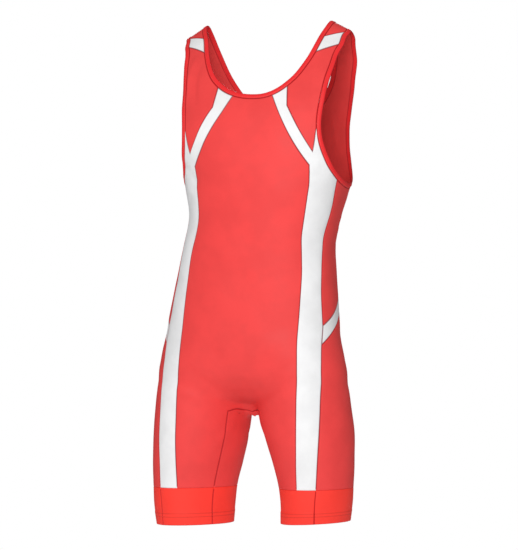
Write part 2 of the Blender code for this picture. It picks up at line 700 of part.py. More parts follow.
def sheet_of(nets):
    """Nets made one sheet: shared points merged and faces turned outwards. Each cell is cut along its
    shorter diagonal, so both sides of the wall have the same triangles and never cross."""
    points = np.concatenate([net.reshape(-1, 3) for net in nets])
    faces = []
    first = 0
    for net in nets:
        number = np.arange(net.shape[0] * net.shape[1]).reshape(net.shape[:2]) + first
        cells = np.stack([number[:-1, :-1], number[1:, :-1], number[1:, 1:], number[:-1, 1:]], -1)
        faces.append(cells.reshape(-1, 4))
        first += number.size
    _, unique, index = np.unique(
        np.round(points, 6), axis=0, return_index=True, return_inverse=True
    )
    points = points[unique]
    faces = index.reshape(-1)[np.concatenate(faces)]
    middle = points[faces].mean(1)
    facing = np.cross(points[faces[:, 2]] - points[faces[:, 0]], points[faces[:, 3]] - points[faces[:, 1]])
    inwards = (facing * outward(middle)).sum(-1) < 0
    faces[inwards] = faces[inwards, ::-1]
    first_way = np.linalg.norm(points[faces[:, 2]] - points[faces[:, 0]], axis=1)
    other_way = np.linalg.norm(points[faces[:, 3]] - points[faces[:, 1]], axis=1)
    faces = np.where((other_way < first_way)[:, None], np.roll(faces, -1, axis=1), faces)
    triangles = np.concatenate([faces[:, [0, 1, 2]], faces[:, [2, 3, 0]]])
    collapsed = (triangles == np.roll(triangles, -1, axis=1)).any(1)
    return points, triangles[~collapsed].tolist()


def rim_of(faces):
    """The sheet's rim as runs from each rim point to the next, in the direction its faces turn."""
    runs = {(a, b) for face in faces for a, b in zip(face, face[1:] + face[:1])}
    return np.array(sorted((a, b) for a, b in runs if (b, a) not in runs))


def draw_in(points, rim, distance):
    """The sheet's rim moved into it along the surface, mitred where it turns a corner."""
    into = unit(np.cross(unit(outward(points[rim[:, 0]])), points[rim[:, 1]] - points[rim[:, 0]]))
    after, before = np.zeros_like(points), np.zeros_like(points)
    after[rim[:, 0]] = into
    before[rim[:, 1]] = into
    share = 1 + (after * before).sum(-1, keepdims=True)
    return points + distance * (after + before) / np.maximum(share, MITRE_LEAST)


def wall_on(points, faces, rim, wall):
    """A closed wall on a sheet. It rises along the figure's own way out and not along the sheet's face
    normals, so two pieces that meet in the hollow of the crotch stay parallel there and never cross."""
    count = len(points)
    both = np.concatenate([points, points + wall * unit(outward(points))])
    outer = [[a + count for a in face] for face in faces]
    inner = [face[::-1] for face in faces]
    edge = [[a, b, b + count, a + count] for a, b in rim.tolist()]
    return both, outer + inner + edge


def material(name, colour):
    made = bpy.data.materials.new(name)
    made.use_nodes = True
    shader = made.node_tree.nodes["Principled BSDF"]
    shader.inputs["Base Color"].default_value = (*colour, 1)
    shader.inputs["Roughness"].default_value = ROUGHNESS
    shader.inputs["Metallic"].default_value = 0
    shader.inputs["Sheen Weight"].default_value = SHEEN
    made.diffuse_color = (*colour, 1)
    return made


RED = (0.74, 0.055, 0.050)
BRIGHT_RED = (0.90, 0.040, 0.028)
WHITE = (0.82, 0.82, 0.83)
ROUGHNESS = 0.55
SHEEN = 0.2
SHARP = math.radians(50)
# Each piece: whether it crosses the middle or comes as a pair, its colour and its wall.
PIECES = (
    ("front_panel", "whole", RED, WALL),
    ("stripe", "pair", WHITE, WALL),
    ("chest_yoke", "pair", RED, WALL),
    ("strap_patch", "pair", WHITE, WALL),
    ("back_panel", "whole", RED, WALL),
    ("hip_band", "pair", WHITE, WALL),
    ("seat_leg", "pair", RED, WALL),
    ("gusset", "whole", RED, WALL),
    ("leg_band_front", "pair", BRIGHT_RED, WALL),
    ("leg_band_back", "pair", BRIGHT_RED, WALL),
    ("leg_band_inner", "pair", BRIGHT_RED, WALL),
    ("neck_binding", "whole", BRIGHT_RED, BINDING_WALL),
    ("armhole_binding", "pair", BRIGHT_RED, BINDING_WALL),
)


def make_piece(name, nets, colour, wall, collection):
    """One piece of cloth: its sheet short of the seams, its wall, then its stance."""
    points, faces = sheet_of(nets)
    rim = rim_of(faces)
    points, faces = wall_on(draw_in(points, rim, SEAM_GAP / 2), faces, rim, wall)
    mesh = bpy.data.meshes.new(name)
    mesh.from_pydata(take_stance(points).tolist(), [], faces)
    mesh.shade_smooth()
    mesh.set_sharp_from_angle(angle=SHARP)
    mesh.materials.append(material(name, colour))
    piece = bpy.data.objects.new(name, mesh)
    collection.objects.link(piece)


def clear_scene():
    for old in list(bpy.data.objects):
        bpy.data.objects.remove(old)


def main():
    clear_scene()
    collection = bpy.data.collections.new("wrestling_singlet")
    bpy.context.scene.collection.children.link(collection)
    cut = make_cut()
    for name, kind, colour, wall in PIECES:
        left = cut[name]
        right = tuple(mirrored(net) for net in left)
        if kind == "whole":
            make_piece(name, left + right, colour, wall, collection)
        else:
            make_piece(name + "_left", left, colour, wall, collection)
            make_piece(name + "_right", right, colour, wall, collection)


main()
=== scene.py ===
# %% [markdown]
# # A wrestling singlet
#
# A singlet is a close-fitting suit of stretch knit: a scooped neck, deep armholes, and legs that end in a
# band above the knee. It is cut from flat panels, and it takes its round shape from the cut and the stretch.
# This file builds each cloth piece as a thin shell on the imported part's own form, so the dressed garment
# and the solids agree, and then gives it folds, seams, stitches and knit.

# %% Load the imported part
import math

import bpy
import numpy as np
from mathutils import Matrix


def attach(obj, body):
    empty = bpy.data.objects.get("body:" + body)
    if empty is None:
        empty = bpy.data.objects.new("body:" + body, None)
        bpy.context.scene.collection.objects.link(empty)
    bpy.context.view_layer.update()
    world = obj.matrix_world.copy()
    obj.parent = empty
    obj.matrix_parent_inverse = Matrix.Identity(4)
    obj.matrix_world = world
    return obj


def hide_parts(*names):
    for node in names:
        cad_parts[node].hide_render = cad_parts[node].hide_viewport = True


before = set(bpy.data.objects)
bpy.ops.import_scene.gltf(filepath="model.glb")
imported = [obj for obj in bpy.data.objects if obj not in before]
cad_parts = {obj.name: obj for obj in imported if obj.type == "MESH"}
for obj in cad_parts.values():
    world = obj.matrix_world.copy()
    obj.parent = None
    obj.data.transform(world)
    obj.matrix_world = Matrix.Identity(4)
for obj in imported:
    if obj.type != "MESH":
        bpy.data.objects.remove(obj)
bpy.context.view_layer.update()
bpy.context.view_layer.update()
print("nodes in the packed part:", len(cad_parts))

# %% [markdown]
# ## Sizes
#
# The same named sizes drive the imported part. Heights are measured from the crests of the straps, so they
# are negative. The counts say how many cells of the net lie along each stretch. The solids use coarse
# cells of about 18 mm, and `FINER` times as many along each stretch make cloth that can fold.

# %% Sizes and counts
WALL = 0.0012
BINDING_WALL = 0.0022
BINDING_WIDTH = 0.009
BAND_TOP = -0.8390
HEM = -0.9060
LEG_START = -0.700
FINER = 5

BRANCH_ROWS = 7 * FINER
CORNER_ROWS = 2 * FINER
CHEST_ROWS = 12 * FINER
HIP_BAND_ROWS = 2 * FINER
SEAT_ROWS = 9 * FINER
LEG_ROWS = 7 * FINER
CROTCH_ROWS = 3 * FINER
BAND_ROWS = 30
FRONT_LEG_COLUMNS = 4 * FINER
STRIPE_COLUMNS = 2 * FINER
SPIKE_COLUMNS = 2 * FINER
SPIKE_ROWS = 4 * FINER
STRAP_COLUMNS = 3 * FINER
PATCH_ROWS = 2 * FINER
YOKE_NECK_ROWS = 4 * FINER
CREST_ROWS = 9 * FINER
NECK_BACK_COLUMNS = 6 * FINER
ARMHOLE_BACK_ROWS = 8 * FINER
ARMHOLE_SIDE_COLUMNS = 4 * FINER
GUSSET_COLUMNS = 5 * FINER
BINDING_COLUMNS = 4
YOKE_ARM_ROWS = BRANCH_ROWS + YOKE_NECK_ROWS - SPIKE_ROWS
FRONT_COLUMNS = FRONT_LEG_COLUMNS + CROTCH_ROWS
BACK_COLUMNS = NECK_BACK_COLUMNS + STRAP_COLUMNS
SEAT_COLUMNS = BACK_COLUMNS + ARMHOLE_SIDE_COLUMNS
print("cells across the front from the middle to the stripe:", FRONT_COLUMNS)

# %% [markdown]
# ## The general figure
#
# The cloth needs a smooth round form to lie on. A stack of rounded sections, read smoothly from a table,
# gives the trunk and each leg. A field says how far a point is outside the form, and the fields are blended
# where the legs join the trunk, as stretch cloth spans a hollow instead of creasing into it.

# %% Tables of sections
LEG_TILT = math.radians(38)
LEG_SQUARE = 2.1
BLEND_TRUNK = 0.042
BLEND_LEGS = 0.030
SHOULDER_HEIGHT = -0.050
SHOULDER_DEPTH = 0.010
SHOULDER_QUARTER = 0.085
CROTCH_HEIGHT = -0.620
CROTCH_RADIUS = 0.090
REACH = 0.32
MARCH_STEPS = 96
HALVINGS = 32
SETTLE_TIMES = 12
SETTLE_STEP = 0.01
SLOPE_STEP = 1e-4
RUN_STEP = 5e-4


def table(columns, rows):
    """A dictionary of arrays, one for each named column, with its rows sorted by the first column."""
    return dict(zip(columns.split(), np.array(sorted(rows), float).T))


TRUNK = table("height half_width front back square centre_y", (
    (0.030, 0.0700, 0.020, 0.020, 2.20, 0.012),
    (0.009, 0.1190, 0.026, 0.028, 2.20, 0.012),
    (-0.010, 0.1545, 0.036, 0.040, 2.20, 0.010),
    (-0.030, 0.1760, 0.047, 0.052, 2.20, 0.008),
    (-0.060, 0.1880, 0.060, 0.068, 2.30, 0.005),
    (-0.100, 0.1880, 0.079, 0.088, 2.40, 0.002),
    (-0.150, 0.1790, 0.099, 0.102, 2.40, 0.000),
    (-0.200, 0.1690, 0.111, 0.109, 2.40, 0.000),
    (-0.250, 0.1600, 0.116, 0.111, 2.40, 0.000),
    (-0.290, 0.1520, 0.115, 0.108, 2.40, 0.000),
    (-0.350, 0.1395, 0.109, 0.099, 2.40, 0.000),
    (-0.400, 0.1412, 0.105, 0.091, 2.40, 0.000),
    (-0.443, 0.1470, 0.102, 0.091, 2.40, 0.000),
    (-0.516, 0.1580, 0.101, 0.105, 2.30, 0.000),
    (-0.545, 0.1611, 0.1005, 0.111, 2.27, 0.000),
    (-0.570, 0.1614, 0.100, 0.116, 2.25, 0.000),
    (-0.605, 0.1577, 0.096, 0.117, 2.20, 0.000),
    (-0.640, 0.1450, 0.084, 0.104, 2.20, 0.002),
    (-0.662, 0.1100, 0.063, 0.080, 2.10, 0.004),
    (-0.678, 0.0620, 0.036, 0.046, 2.00, 0.006),
    (-0.686, 0.0140, 0.010, 0.012, 2.00, 0.008),
))
LEG = table("height centre_x centre_y long short", (
    (-0.520, 0.0600, 0.000, 0.0300, 0.0300),
    (-0.580, 0.0790, 0.000, 0.0740, 0.0660),
    (-0.640, 0.0905, 0.002, 0.0892, 0.0785),
    (-0.700, 0.0985, 0.001, 0.0895, 0.0790),
    (-0.754, 0.1065, -0.004, 0.0845, 0.0745),
    (-0.791, 0.1118, -0.007, 0.0793, 0.0688),
    (-0.827, 0.1162, -0.009, 0.0740, 0.0632),
    (-0.864, 0.1183, -0.010, 0.0703, 0.0600),
    (-0.910, 0.1167, -0.010, 0.0647, 0.0567),
))
STANCE = table("height sway turn tilt", (
    (0.03, 0.0140, 2.0, 0.000),
    (-0.28, 0.0165, 2.0, 0.000),
    (-0.35, 0.0095, 3.0, 0.000),
    (-0.40, -0.0005, 3.5, 0.000),
    (-0.46, -0.0060, 3.2, 0.000),
    (-0.52, -0.0114, 3.0, 0.000),
    (-0.56, -0.0138, 2.2, 0.000),
    (-0.60, -0.0130, 1.0, 0.000),
    (-0.68, -0.0105, -3.0, 0.004),
    (-0.76, -0.0060, -6.8, 0.010),
    (-0.84, -0.0040, -9.2, 0.018),
    (-0.91, -0.0040, -10.5, 0.058),
))
RIGHT_TILT = 0.35
DRAW = table("height out", (
    (0.000, 0.0000),
    (-0.030, 0.0010),
    (-0.058, 0.0055),
    (-0.080, 0.0090),
    (-0.120, 0.0125),
    (-0.160, 0.0170),
    (-0.190, 0.0170),
    (-0.215, 0.0140),
    (-0.232, 0.0108),
    (-0.246, 0.0072),
    (-0.262, 0.0030),
    (-0.280, 0.0000),
))
DRAW_FADES_ACROSS = 0.085
DRAW_BACK = 0.030
DRAW_FADES_BACK = 0.080
# How far the crotch sits to the right, by height, and how far from the middle that fades out.
CROTCH_SHIFT = table("height right", (
    (-0.610, 0.0000),
    (-0.660, 0.0030),
    (-0.700, 0.0050),
    (-0.722, 0.0048),
    (-0.754, 0.0025),
    (-0.791, 0.0008),
    (-0.830, 0.0000),
))
CROTCH_FADES_ACROSS = 0.095
# How far the front of the right strap is drawn up, and its outer edge let down, by height.
RIGHT_STRAP = table("height up down", (
    (0.030, 0.0000, 0.0050),
    (0.000, 0.0005, 0.0050),
    (-0.022, 0.0040, 0.0030),
    (-0.045, 0.0050, 0.0005),
    (-0.070, 0.0038, 0.0000),
    (-0.110, 0.0012, 0.0000),
    (-0.150, 0.0000, 0.0000),
))
STRAP_MIDDLE = 0.110
STRAP_REACH = 0.050
print("sections:", len(TRUNK["height"]), "in the trunk and", len(LEG["height"]), "in each leg")

# %% [markdown]
# A table has a few rows, and the form between them has to be smooth. A cubic through the rows, with its
# slope at each row weighed from both sides, has no kinks and doesn't ripple as a fitted curve might.

# %% The field of the figure


def hermite(at, knots, values):
    """A smooth curve through the values: a cubic between knots, its slope there weighed from both sides."""
    gap = np.diff(knots)
    slope = np.diff(values) / gap
    lean = np.concatenate([
        slope[:1],
        (slope[:-1] * gap[1:] + slope[1:] * gap[:-1]) / (gap[:-1] + gap[1:]),
        slope[-1:],
    ])
    at = np.clip(at, knots[0], knots[-1])
    i = np.clip(np.searchsorted(knots, at) - 1, 0, len(knots) - 2)
    t = (at - knots[i]) / gap[i]
    start = (1 + 2 * t) * (1 - t) ** 2 * values[i] + t * (1 - t) ** 2 * gap[i] * lean[i]
    end = t * t * (3 - 2 * t) * values[i + 1] + t * t * (t - 1) * gap[i] * lean[i + 1]
    return start + end


def read(from_table, column, at):
    """A column of a table, read smoothly at the given values of its first column."""
    return hermite(at, next(iter(from_table.values())), from_table[column])


def blend_least(a, b, width):
    """The lesser of two fields, less a quarter of the width times the square of how near they are."""
    near = np.clip(1 - np.abs(a - b) / width, 0, None)
    return np.minimum(a, b) - near * near * width / 4


def rounded(u, v, half_u, half_v, square):
    """Below zero inside a rounded section: the power mean of both shares, less one, times its size."""
    share = (np.abs(u / half_u) ** square + np.abs(v / half_v) ** square) ** (1 / square)
    return (share - 1) * np.sqrt(half_u * half_v)


def trunk_field(p):
    """The trunk: rounded sections with their own depth in front and behind."""
    x, y, z = np.moveaxis(p, -1, 0)
    from_centre = y - read(TRUNK, "centre_y", z)
    depth = np.where(from_centre < 0, read(TRUNK, "front", z), read(TRUNK, "back", z))
    ends = TRUNK["height"]
    past_ends = np.clip(z - ends[-1], 0, None) + np.clip(ends[0] - z, 0, None)
    section = rounded(x, from_centre, read(TRUNK, "half_width", z), depth, read(TRUNK, "square", z))
    return section + past_ends


def leg_field(p, side):
    """One leg: rounded sections, longer from front outer to back inner."""
    z = p[..., 2]
    dx = side * p[..., 0] - read(LEG, "centre_x", z)
    dy = p[..., 1] - read(LEG, "centre_y", z)
    u = dx * math.sin(LEG_TILT) - dy * math.cos(LEG_TILT)
    v = dx * math.cos(LEG_TILT) + dy * math.sin(LEG_TILT)
    section = rounded(u, v, read(LEG, "long", z), read(LEG, "short", z), LEG_SQUARE)
    return section + np.clip(z - LEG["height"][-1], 0, None)


def figure(p):
    """Zero on the figure's surface and below zero inside it: the trunk and both legs, blended."""
    legs = blend_least(leg_field(p, 1), leg_field(p, -1), BLEND_LEGS)
    return blend_least(trunk_field(p), legs, BLEND_TRUNK)


def outward(p):
    """The field's slope, from its differences along X, Y and Z. It points out of the surface."""
    steps = SLOPE_STEP * np.eye(3)
    slope = np.stack([figure(p + step) - figure(p - step) for step in steps], -1)
    return slope / (2 * SLOPE_STEP)


def unit(v):
    return v / np.maximum(np.linalg.norm(v, axis=-1, keepdims=True), 1e-12)


def settle(p, times=SETTLE_TIMES):
    """Points near the surface moved onto it: each step is the field divided by its slope."""
    for _ in range(times):
        slope = outward(p)
        step = figure(p)[..., None] * slope / (slope**2).sum(-1, keepdims=True)
        p = p - np.clip(step, -SETTLE_STEP, SETTLE_STEP)
    return p


def cast(origin, direction):
    """Where rays from inside the figure first leave it: a march, then halving."""
    reaches = np.linspace(0, REACH, MARCH_STEPS + 1)
    outside = np.stack([figure(origin + direction * reach) > 0 for reach in reaches])
    first = np.argmax(outside, axis=0)
    low, high = reaches[np.maximum(first - 1, 0)], reaches[first]
    for _ in range(HALVINGS):
        middle = (low + high) / 2
        inside = figure(origin + direction * middle[..., None]) < 0
        low, high = np.where(inside, middle, low), np.where(inside, high, middle)
    return origin + direction * high[..., None]


def fade(share):
    """Smoothly from 0 to 1 as the share goes from 0 to 1: three squares less two cubes."""
    share = np.clip(share, 0, 1)
    return share * share * (3 - 2 * share)


def take_stance(p):
    """The garment's stance. The right side of the chest is drawn outwards, each height turns a little
    about the middle and moves sideways, and the legs tilt so that the left hem is the higher one."""
    x, y, z = np.moveaxis(p, -1, 0)
    front = fade((DRAW_BACK - y) / DRAW_FADES_BACK)
    near_middle = fade(1 - np.abs(x) / CROTCH_FADES_ACROSS)
    drawn_up = read(RIGHT_STRAP, "up", z) * fade(-x / DRAW_FADES_ACROSS) * front
    let_down = read(RIGHT_STRAP, "down", z) * fade((-x - STRAP_MIDDLE) / STRAP_REACH)
    out = read(DRAW, "out", z) * fade(-x / DRAW_FADES_ACROSS) * front
    x = x - out - read(CROTCH_SHIFT, "right", z) * near_middle
    turn = np.radians(read(STANCE, "turn", z))
    raised = z + read(STANCE, "tilt", z) * np.where(x > 0, x, RIGHT_TILT * x) + drawn_up - let_down
    return np.stack([x - y * np.tan(turn) + read(STANCE, "sway", z), y, raised], -1)


probe = figure(np.array([[0.0, 0.0, -0.3], [0.3, 0.0, -0.3]]))
print("field inside and outside the chest:", probe.round(3).tolist())

# %% [markdown]
# ## The cut
#
# A seam is drawn as a maker marks a pattern on a dress form: a few points seen from the front, from the
# side, or over the shoulder, joined by a smooth line, and laid on the form. Both sides have the same cut,
# so only the left side is drawn. Each piece then fills the space between four runs of seam.

# %% Tables of seams
NECK_EDGE = (
    ("front_centre", 0.0000, -0.163),
    ("", 0.0160, -0.162),
    ("branch_inner", 0.0310, -0.158),
    ("", 0.0430, -0.152),
    ("branch_outer", 0.0555, -0.143),
    ("", 0.0680, -0.131),
    ("", 0.0820, -0.111),
    ("patch_lower", 0.0965, -0.083),
    ("patch_upper", 0.1080, -0.044),
    ("crest", 0.1190, 0.000),
    ("", 0.1150, 0.045),
    ("", 0.1060, 0.090),
    ("back_strap", 0.0940, 0.125),
    ("", 0.0740, 0.158),
    ("", 0.0500, 0.181),
    ("", 0.0240, 0.192),
    ("back_centre", 0.0000, 0.195),
)
ARMHOLE_EDGE = (
    ("crest", 0.0125, -0.0120),
    ("patch_upper", -0.0060, -0.0190),
    ("patch_lower", -0.0255, -0.0415),
    ("", -0.0478, -0.0780),
    ("", -0.0629, -0.1076),
    ("", -0.0750, -0.1404),
    ("", -0.0819, -0.1693),
    ("spike_tip", -0.0840, -0.1900),
    ("", -0.0820, -0.2172),
    ("", -0.0750, -0.2390),
    ("", -0.0640, -0.2575),
    ("side_seam", -0.0445, -0.2735),
    ("", -0.0190, -0.2830),
    ("", 0.0120, -0.2855),
    ("", 0.0400, -0.2770),
    ("back_low", 0.0630, -0.2580),
    ("", 0.0770, -0.2280),
    ("", 0.0810, -0.1900),
    ("", 0.0760, -0.1450),
    ("back_strap", 0.0660, -0.1000),
    ("", 0.0490, -0.0620),
    ("", 0.0320, -0.0280),
)
BRANCH_INNER = ((0.0500, -0.1630), (0.0715, -0.2040), (0.0860, -0.2275))
KINK = (0.1065, -0.2568)
STRIPE_INNER = (
    (0.1068, -0.290),
    (0.1030, -0.320),
    (0.1003, -0.353),
    (0.1010, -0.380),
    (0.1045, -0.407),
    (0.1080, -0.443),
    (0.1100, -0.500),
    (0.1112, -0.570),
    (0.1140, -0.642),
    (0.1150, LEG_START),
)
STRIPE_INNER_LEG = ((0.1157, -0.750), (0.1155, -0.790), (0.1150, BAND_TOP))
BRANCH_CORNER = (0.0640, -0.1500)
BRANCH_OUTER = ((0.0880, -0.1940),)
NOTCH = (0.1110, -0.2320)
SPIKE_FOOT = (0.1280, -0.2680)
STRIPE_OUTER = (
    (0.1396, -0.3175),
    (0.1335, -0.3533),
    (0.1322, -0.3800),
    (0.1338, -0.4070),
    (0.1364, -0.4430),
    (0.1396, -0.4790),
    (0.1441, -0.5150),
    (0.1475, -0.5430),
)
STRIPE_OUTER_BAND = ((0.1492, -0.5770),)
STRIPE_OUTER_SEAT = ((0.1525, -0.6400), (0.1535, LEG_START))
STRIPE_OUTER_LEG = ((0.1530, -0.750), (0.1515, -0.790), (0.1490, BAND_TOP))
STRIPE_OUTER_HEM = ((0.1465, -0.871), (0.1445, HEM))
HIP_BAND = table("way upper lower", (
    (0.00, -0.543, -0.577),
    (0.12, -0.519, -0.552),
    (0.25, -0.492, -0.523),
    (0.50, -0.460, -0.491),
    (0.75, -0.444, -0.475),
    (1.00, -0.438, -0.469),
))
CROTCH_FRONT_ANGLE = math.radians(0)
CROTCH_BACK_ANGLE = math.radians(44)
GUSSET_FRONT_TOP = ((0.0100, -0.0080, -0.7000), (0.0208, -0.0265, -0.6965), (0.0318, -0.0410, -0.6998))
GUSSET_BACK_TOP = ((0.0130, 0.0600, -0.6785), (0.0270, 0.0640, -0.6860), (0.0375, 0.0630, -0.7000))
GUSSET_FRONT_ANGLE = math.radians(-149)
GUSSET_BACK_ANGLE = math.radians(136)
BACK_YOKE_HEIGHT = -0.240
print("points on the neck edge and on an armhole:", len(NECK_EDGE), len(ARMHOLE_EDGE))

# %% Ways to lay a line on the figure


def stacked(*columns):
    return np.stack(np.broadcast_arrays(*columns), -1).astype(float)


def over_shoulder(x, way):
    """Half width x, and the way over the shoulder from its crest: level rays in front and behind, and
    rays fanned through a half turn between them."""
    fan = np.clip(way / SHOULDER_QUARTER, -1, 1) * math.pi / 2
    below = np.clip(np.abs(way) - SHOULDER_QUARTER, 0, None)
    origin = stacked(x, SHOULDER_DEPTH, SHOULDER_HEIGHT - below)
    return cast(origin, stacked(0, np.sin(fan), np.cos(fan)))


def from_side(y, z):
    return cast(stacked(0, y, z), stacked(1, 0 * y, 0 * y))


def from_front(x, z):
    return cast(stacked(x, 0, z), stacked(0 * x, -1, 0 * x))


def centre_line(facing, top, angle, cells):
    """Down the middle in front (facing -1) or behind (+1), then under the crotch to an angle."""
    straight = top - CROTCH_HEIGHT
    arc = CROTCH_RADIUS * (math.pi / 2 - facing * angle)
    way = np.linspace(0, straight + arc, cells + 1)
    turn = np.clip(way - straight, 0, None) / CROTCH_RADIUS
    height = top - np.minimum(way, straight)
    return cast(stacked(0, 0, height), stacked(0, facing * np.cos(turn), -np.sin(turn)))


def crotch_line(cells):
    """Under the crotch from the gusset's front seam to its back seam."""
    angle = np.linspace(CROTCH_FRONT_ANGLE, CROTCH_BACK_ANGLE, cells + 1)
    return cast(stacked(0, 0, CROTCH_HEIGHT + 0 * angle), stacked(0, np.sin(angle), -np.cos(angle)))


def leg_centre(height):
    return float(read(LEG, "centre_x", height)), float(read(LEG, "centre_y", height))


def round_axis(centre, start, end, cells):
    """Level rays from a standing axis, its angle and height going evenly from one point to another."""
    angles = [math.atan2(p[1] - centre[1], p[0] - centre[0]) for p in (start, end)]
    angle = np.linspace(*angles, cells + 1)
    height = np.linspace(start[2], end[2], cells + 1)
    return cast(stacked(*centre, height), stacked(np.cos(angle), np.sin(angle), 0))


def down_leg(angle, heights):
    """Points down the leg at one angle about its centre."""
    origin = stacked(read(LEG, "centre_x", heights), read(LEG, "centre_y", heights), heights)
    return cast(origin, stacked(math.cos(angle), math.sin(angle), 0 * heights))


def inner_ring(height):
    """The inner leg's run at one height, from the gusset's front seam round to its back seam."""
    angle = np.linspace(GUSSET_FRONT_ANGLE, GUSSET_BACK_ANGLE - 2 * math.pi, GUSSET_COLUMNS + 1)
    origin = stacked(*leg_centre(height), height + 0 * angle)
    return cast(origin, stacked(np.cos(angle), np.sin(angle), 0))


def gusset_leg(top, angle):
    """A gusset seam down the leg: it leaves its top point and eases over to the seam's angle."""
    run = down_leg(angle, np.linspace(top[2], BAND_TOP, LEG_ROWS + 1))
    ease = np.linspace(1, 0, LEG_ROWS + 1)[:, None] ** 3
    return settle(run + ease * (top - run[0]))


def hip_edge(start, column):
    """An edge of the hip band, from the middle of the back round to its point on the side seam."""
    way = np.linspace(1, 0, SEAT_COLUMNS + 1)
    first = math.atan2(start[1], start[0])
    angle = first + way * (math.pi / 2 - first)
    return cast(stacked(0, 0, read(HIP_BAND, column, way)), stacked(np.cos(angle), np.sin(angle), 0))


def back_middle(top, bottom, cells):
    heights = np.linspace(top, bottom, cells + 1)
    return cast(stacked(0, 0, heights), stacked(0 * heights, 1, 0))


def along(points, cells):
    """Evenly spaced places on a smooth path through a few points, by their distance."""
    points = np.array(points, float)
    knots = np.concatenate([[0], np.cumsum(np.linalg.norm(np.diff(points, axis=0), axis=1))])
    at = np.linspace(0, knots[-1], cells + 1)
    return np.stack([hermite(at, knots, column) for column in points.T], -1)


def front_seam(points, cells):
    return from_front(*along(points, cells).T)


def straight_seam(start, end, cells):
    return settle(along((start, end), cells))


# %% [markdown]
# The neck and the armholes are closed edges with a binding sewn on. The binding's seam runs at an even
# distance inside the edge, so it is worked out from the edge and not drawn: the way into the cloth is the
# cross product of the edge's own run and the figure's way out.

# %% Edges with a binding


class Edge:
    """A closed edge of the cloth, through the rows of a table, with the seam of its binding inside it."""

    def __init__(self, rows, onto_figure):
        names = [row[0] for row in rows]
        points = np.array([row[1:] for row in rows], float)
        gaps = np.linalg.norm(points - np.roll(points, 1, axis=0), axis=1)
        at = np.cumsum(gaps) - gaps[0]
        self.around = gaps.sum()
        self.at = {name: place for name, place in zip(names, at) if name}
        wrap = 3
        self.knots = np.concatenate([at[-wrap:] - self.around, at, at[:wrap] + self.around])
        self.points = np.concatenate([points[-wrap:], points, points[:wrap]])
        self.onto_figure = onto_figure

    def edge(self, at):
        at = np.mod(at, self.around)
        return self.onto_figure(*(hermite(at, self.knots, column) for column in self.points.T))

    def inside(self, at, distance):
        """The edge moved into the cloth: across its own run and across the figure's way out."""
        here = self.edge(at)
        run = unit(self.edge(at + RUN_STEP) - self.edge(at - RUN_STEP))
        return settle(here + distance * unit(np.cross(run, outward(here))))

    def between(self, start, end, cells, distance=BINDING_WIDTH):
        return self.inside(np.linspace(start, end, cells + 1), distance)


def neck_rows():
    """The neck edge all round: down the left half, then back up the right half."""
    right_half = [(name and name + "_right", -x, way) for name, x, way in NECK_EDGE[-2:0:-1]]
    return list(NECK_EDGE) + right_half


def coons(top, bottom, left, right):
    """A net between four runs of points: each pair spread across, less the spread of the corners."""
    u = np.linspace(0, 1, len(top))[None, :, None]
    v = np.linspace(0, 1, len(left))[:, None, None]
    down = (1 - v) * top[None] + v * bottom[None]
    across = (1 - u) * left[:, None] + u * right[:, None]
    corners = (1 - v) * ((1 - u) * top[0] + u * top[-1]) + v * ((1 - u) * bottom[0] + u * bottom[-1])
    net = settle(down + across - corners)
    net[0], net[-1], net[:, 0], net[:, -1] = top, bottom, left, right
    return net


def join(*runs):
    """Runs of points laid end to end, each starting where the last one ends."""
    return np.concatenate([runs[0]] + [run[1:] for run in runs[1:]])


def flat(p):
    """A point as it is seen from the front."""
    return p[0], p[2]


def spread(places, cells):
    """Places along an edge: each stretch between two named places cut into its number of cells."""
    stretches = zip(places[:-1], places[1:], cells)
    return join(*(np.linspace(start, end, count + 1) for start, end, count in stretches))


def binding_net(edge, stations):
    """A strip from the open edge in to the seam, a few cells wide."""
    return np.stack([
        edge.inside(stations, share * BINDING_WIDTH)
        for share in np.linspace(0, 1, BINDING_COLUMNS + 1)
    ])


neck = Edge(neck_rows(), over_shoulder)
arm = Edge(ARMHOLE_EDGE, from_side)
NECK_NAMES = "front_centre branch_inner branch_outer patch_lower patch_upper back_strap back_centre".split()
NECK_CELLS = (FRONT_COLUMNS, STRIPE_COLUMNS, YOKE_NECK_ROWS, PATCH_ROWS, CREST_ROWS, NECK_BACK_COLUMNS)
ARM_NAMES = "patch_upper patch_lower spike_tip side_seam back_low back_strap".split()
ARM_CELLS = (PATCH_ROWS, YOKE_ARM_ROWS, SPIKE_ROWS, ARMHOLE_SIDE_COLUMNS, ARMHOLE_BACK_ROWS, CREST_ROWS)
neck_stations = spread([neck.at[name] for name in NECK_NAMES], NECK_CELLS)
arm_stations = spread([arm.at[name] for name in ARM_NAMES] + [arm.at["patch_upper"] + arm.around], ARM_CELLS)
print("stations round half the neck and round an armhole:", len(neck_stations), len(arm_stations))

# %% [markdown]
# Now every seam of the left side is laid, and each piece gets its net between them. A run of points that
# two pieces share is made once and used twice, so the pieces meet exactly, as cut edges sewn together do.

# %% Every seam, then the net of every piece


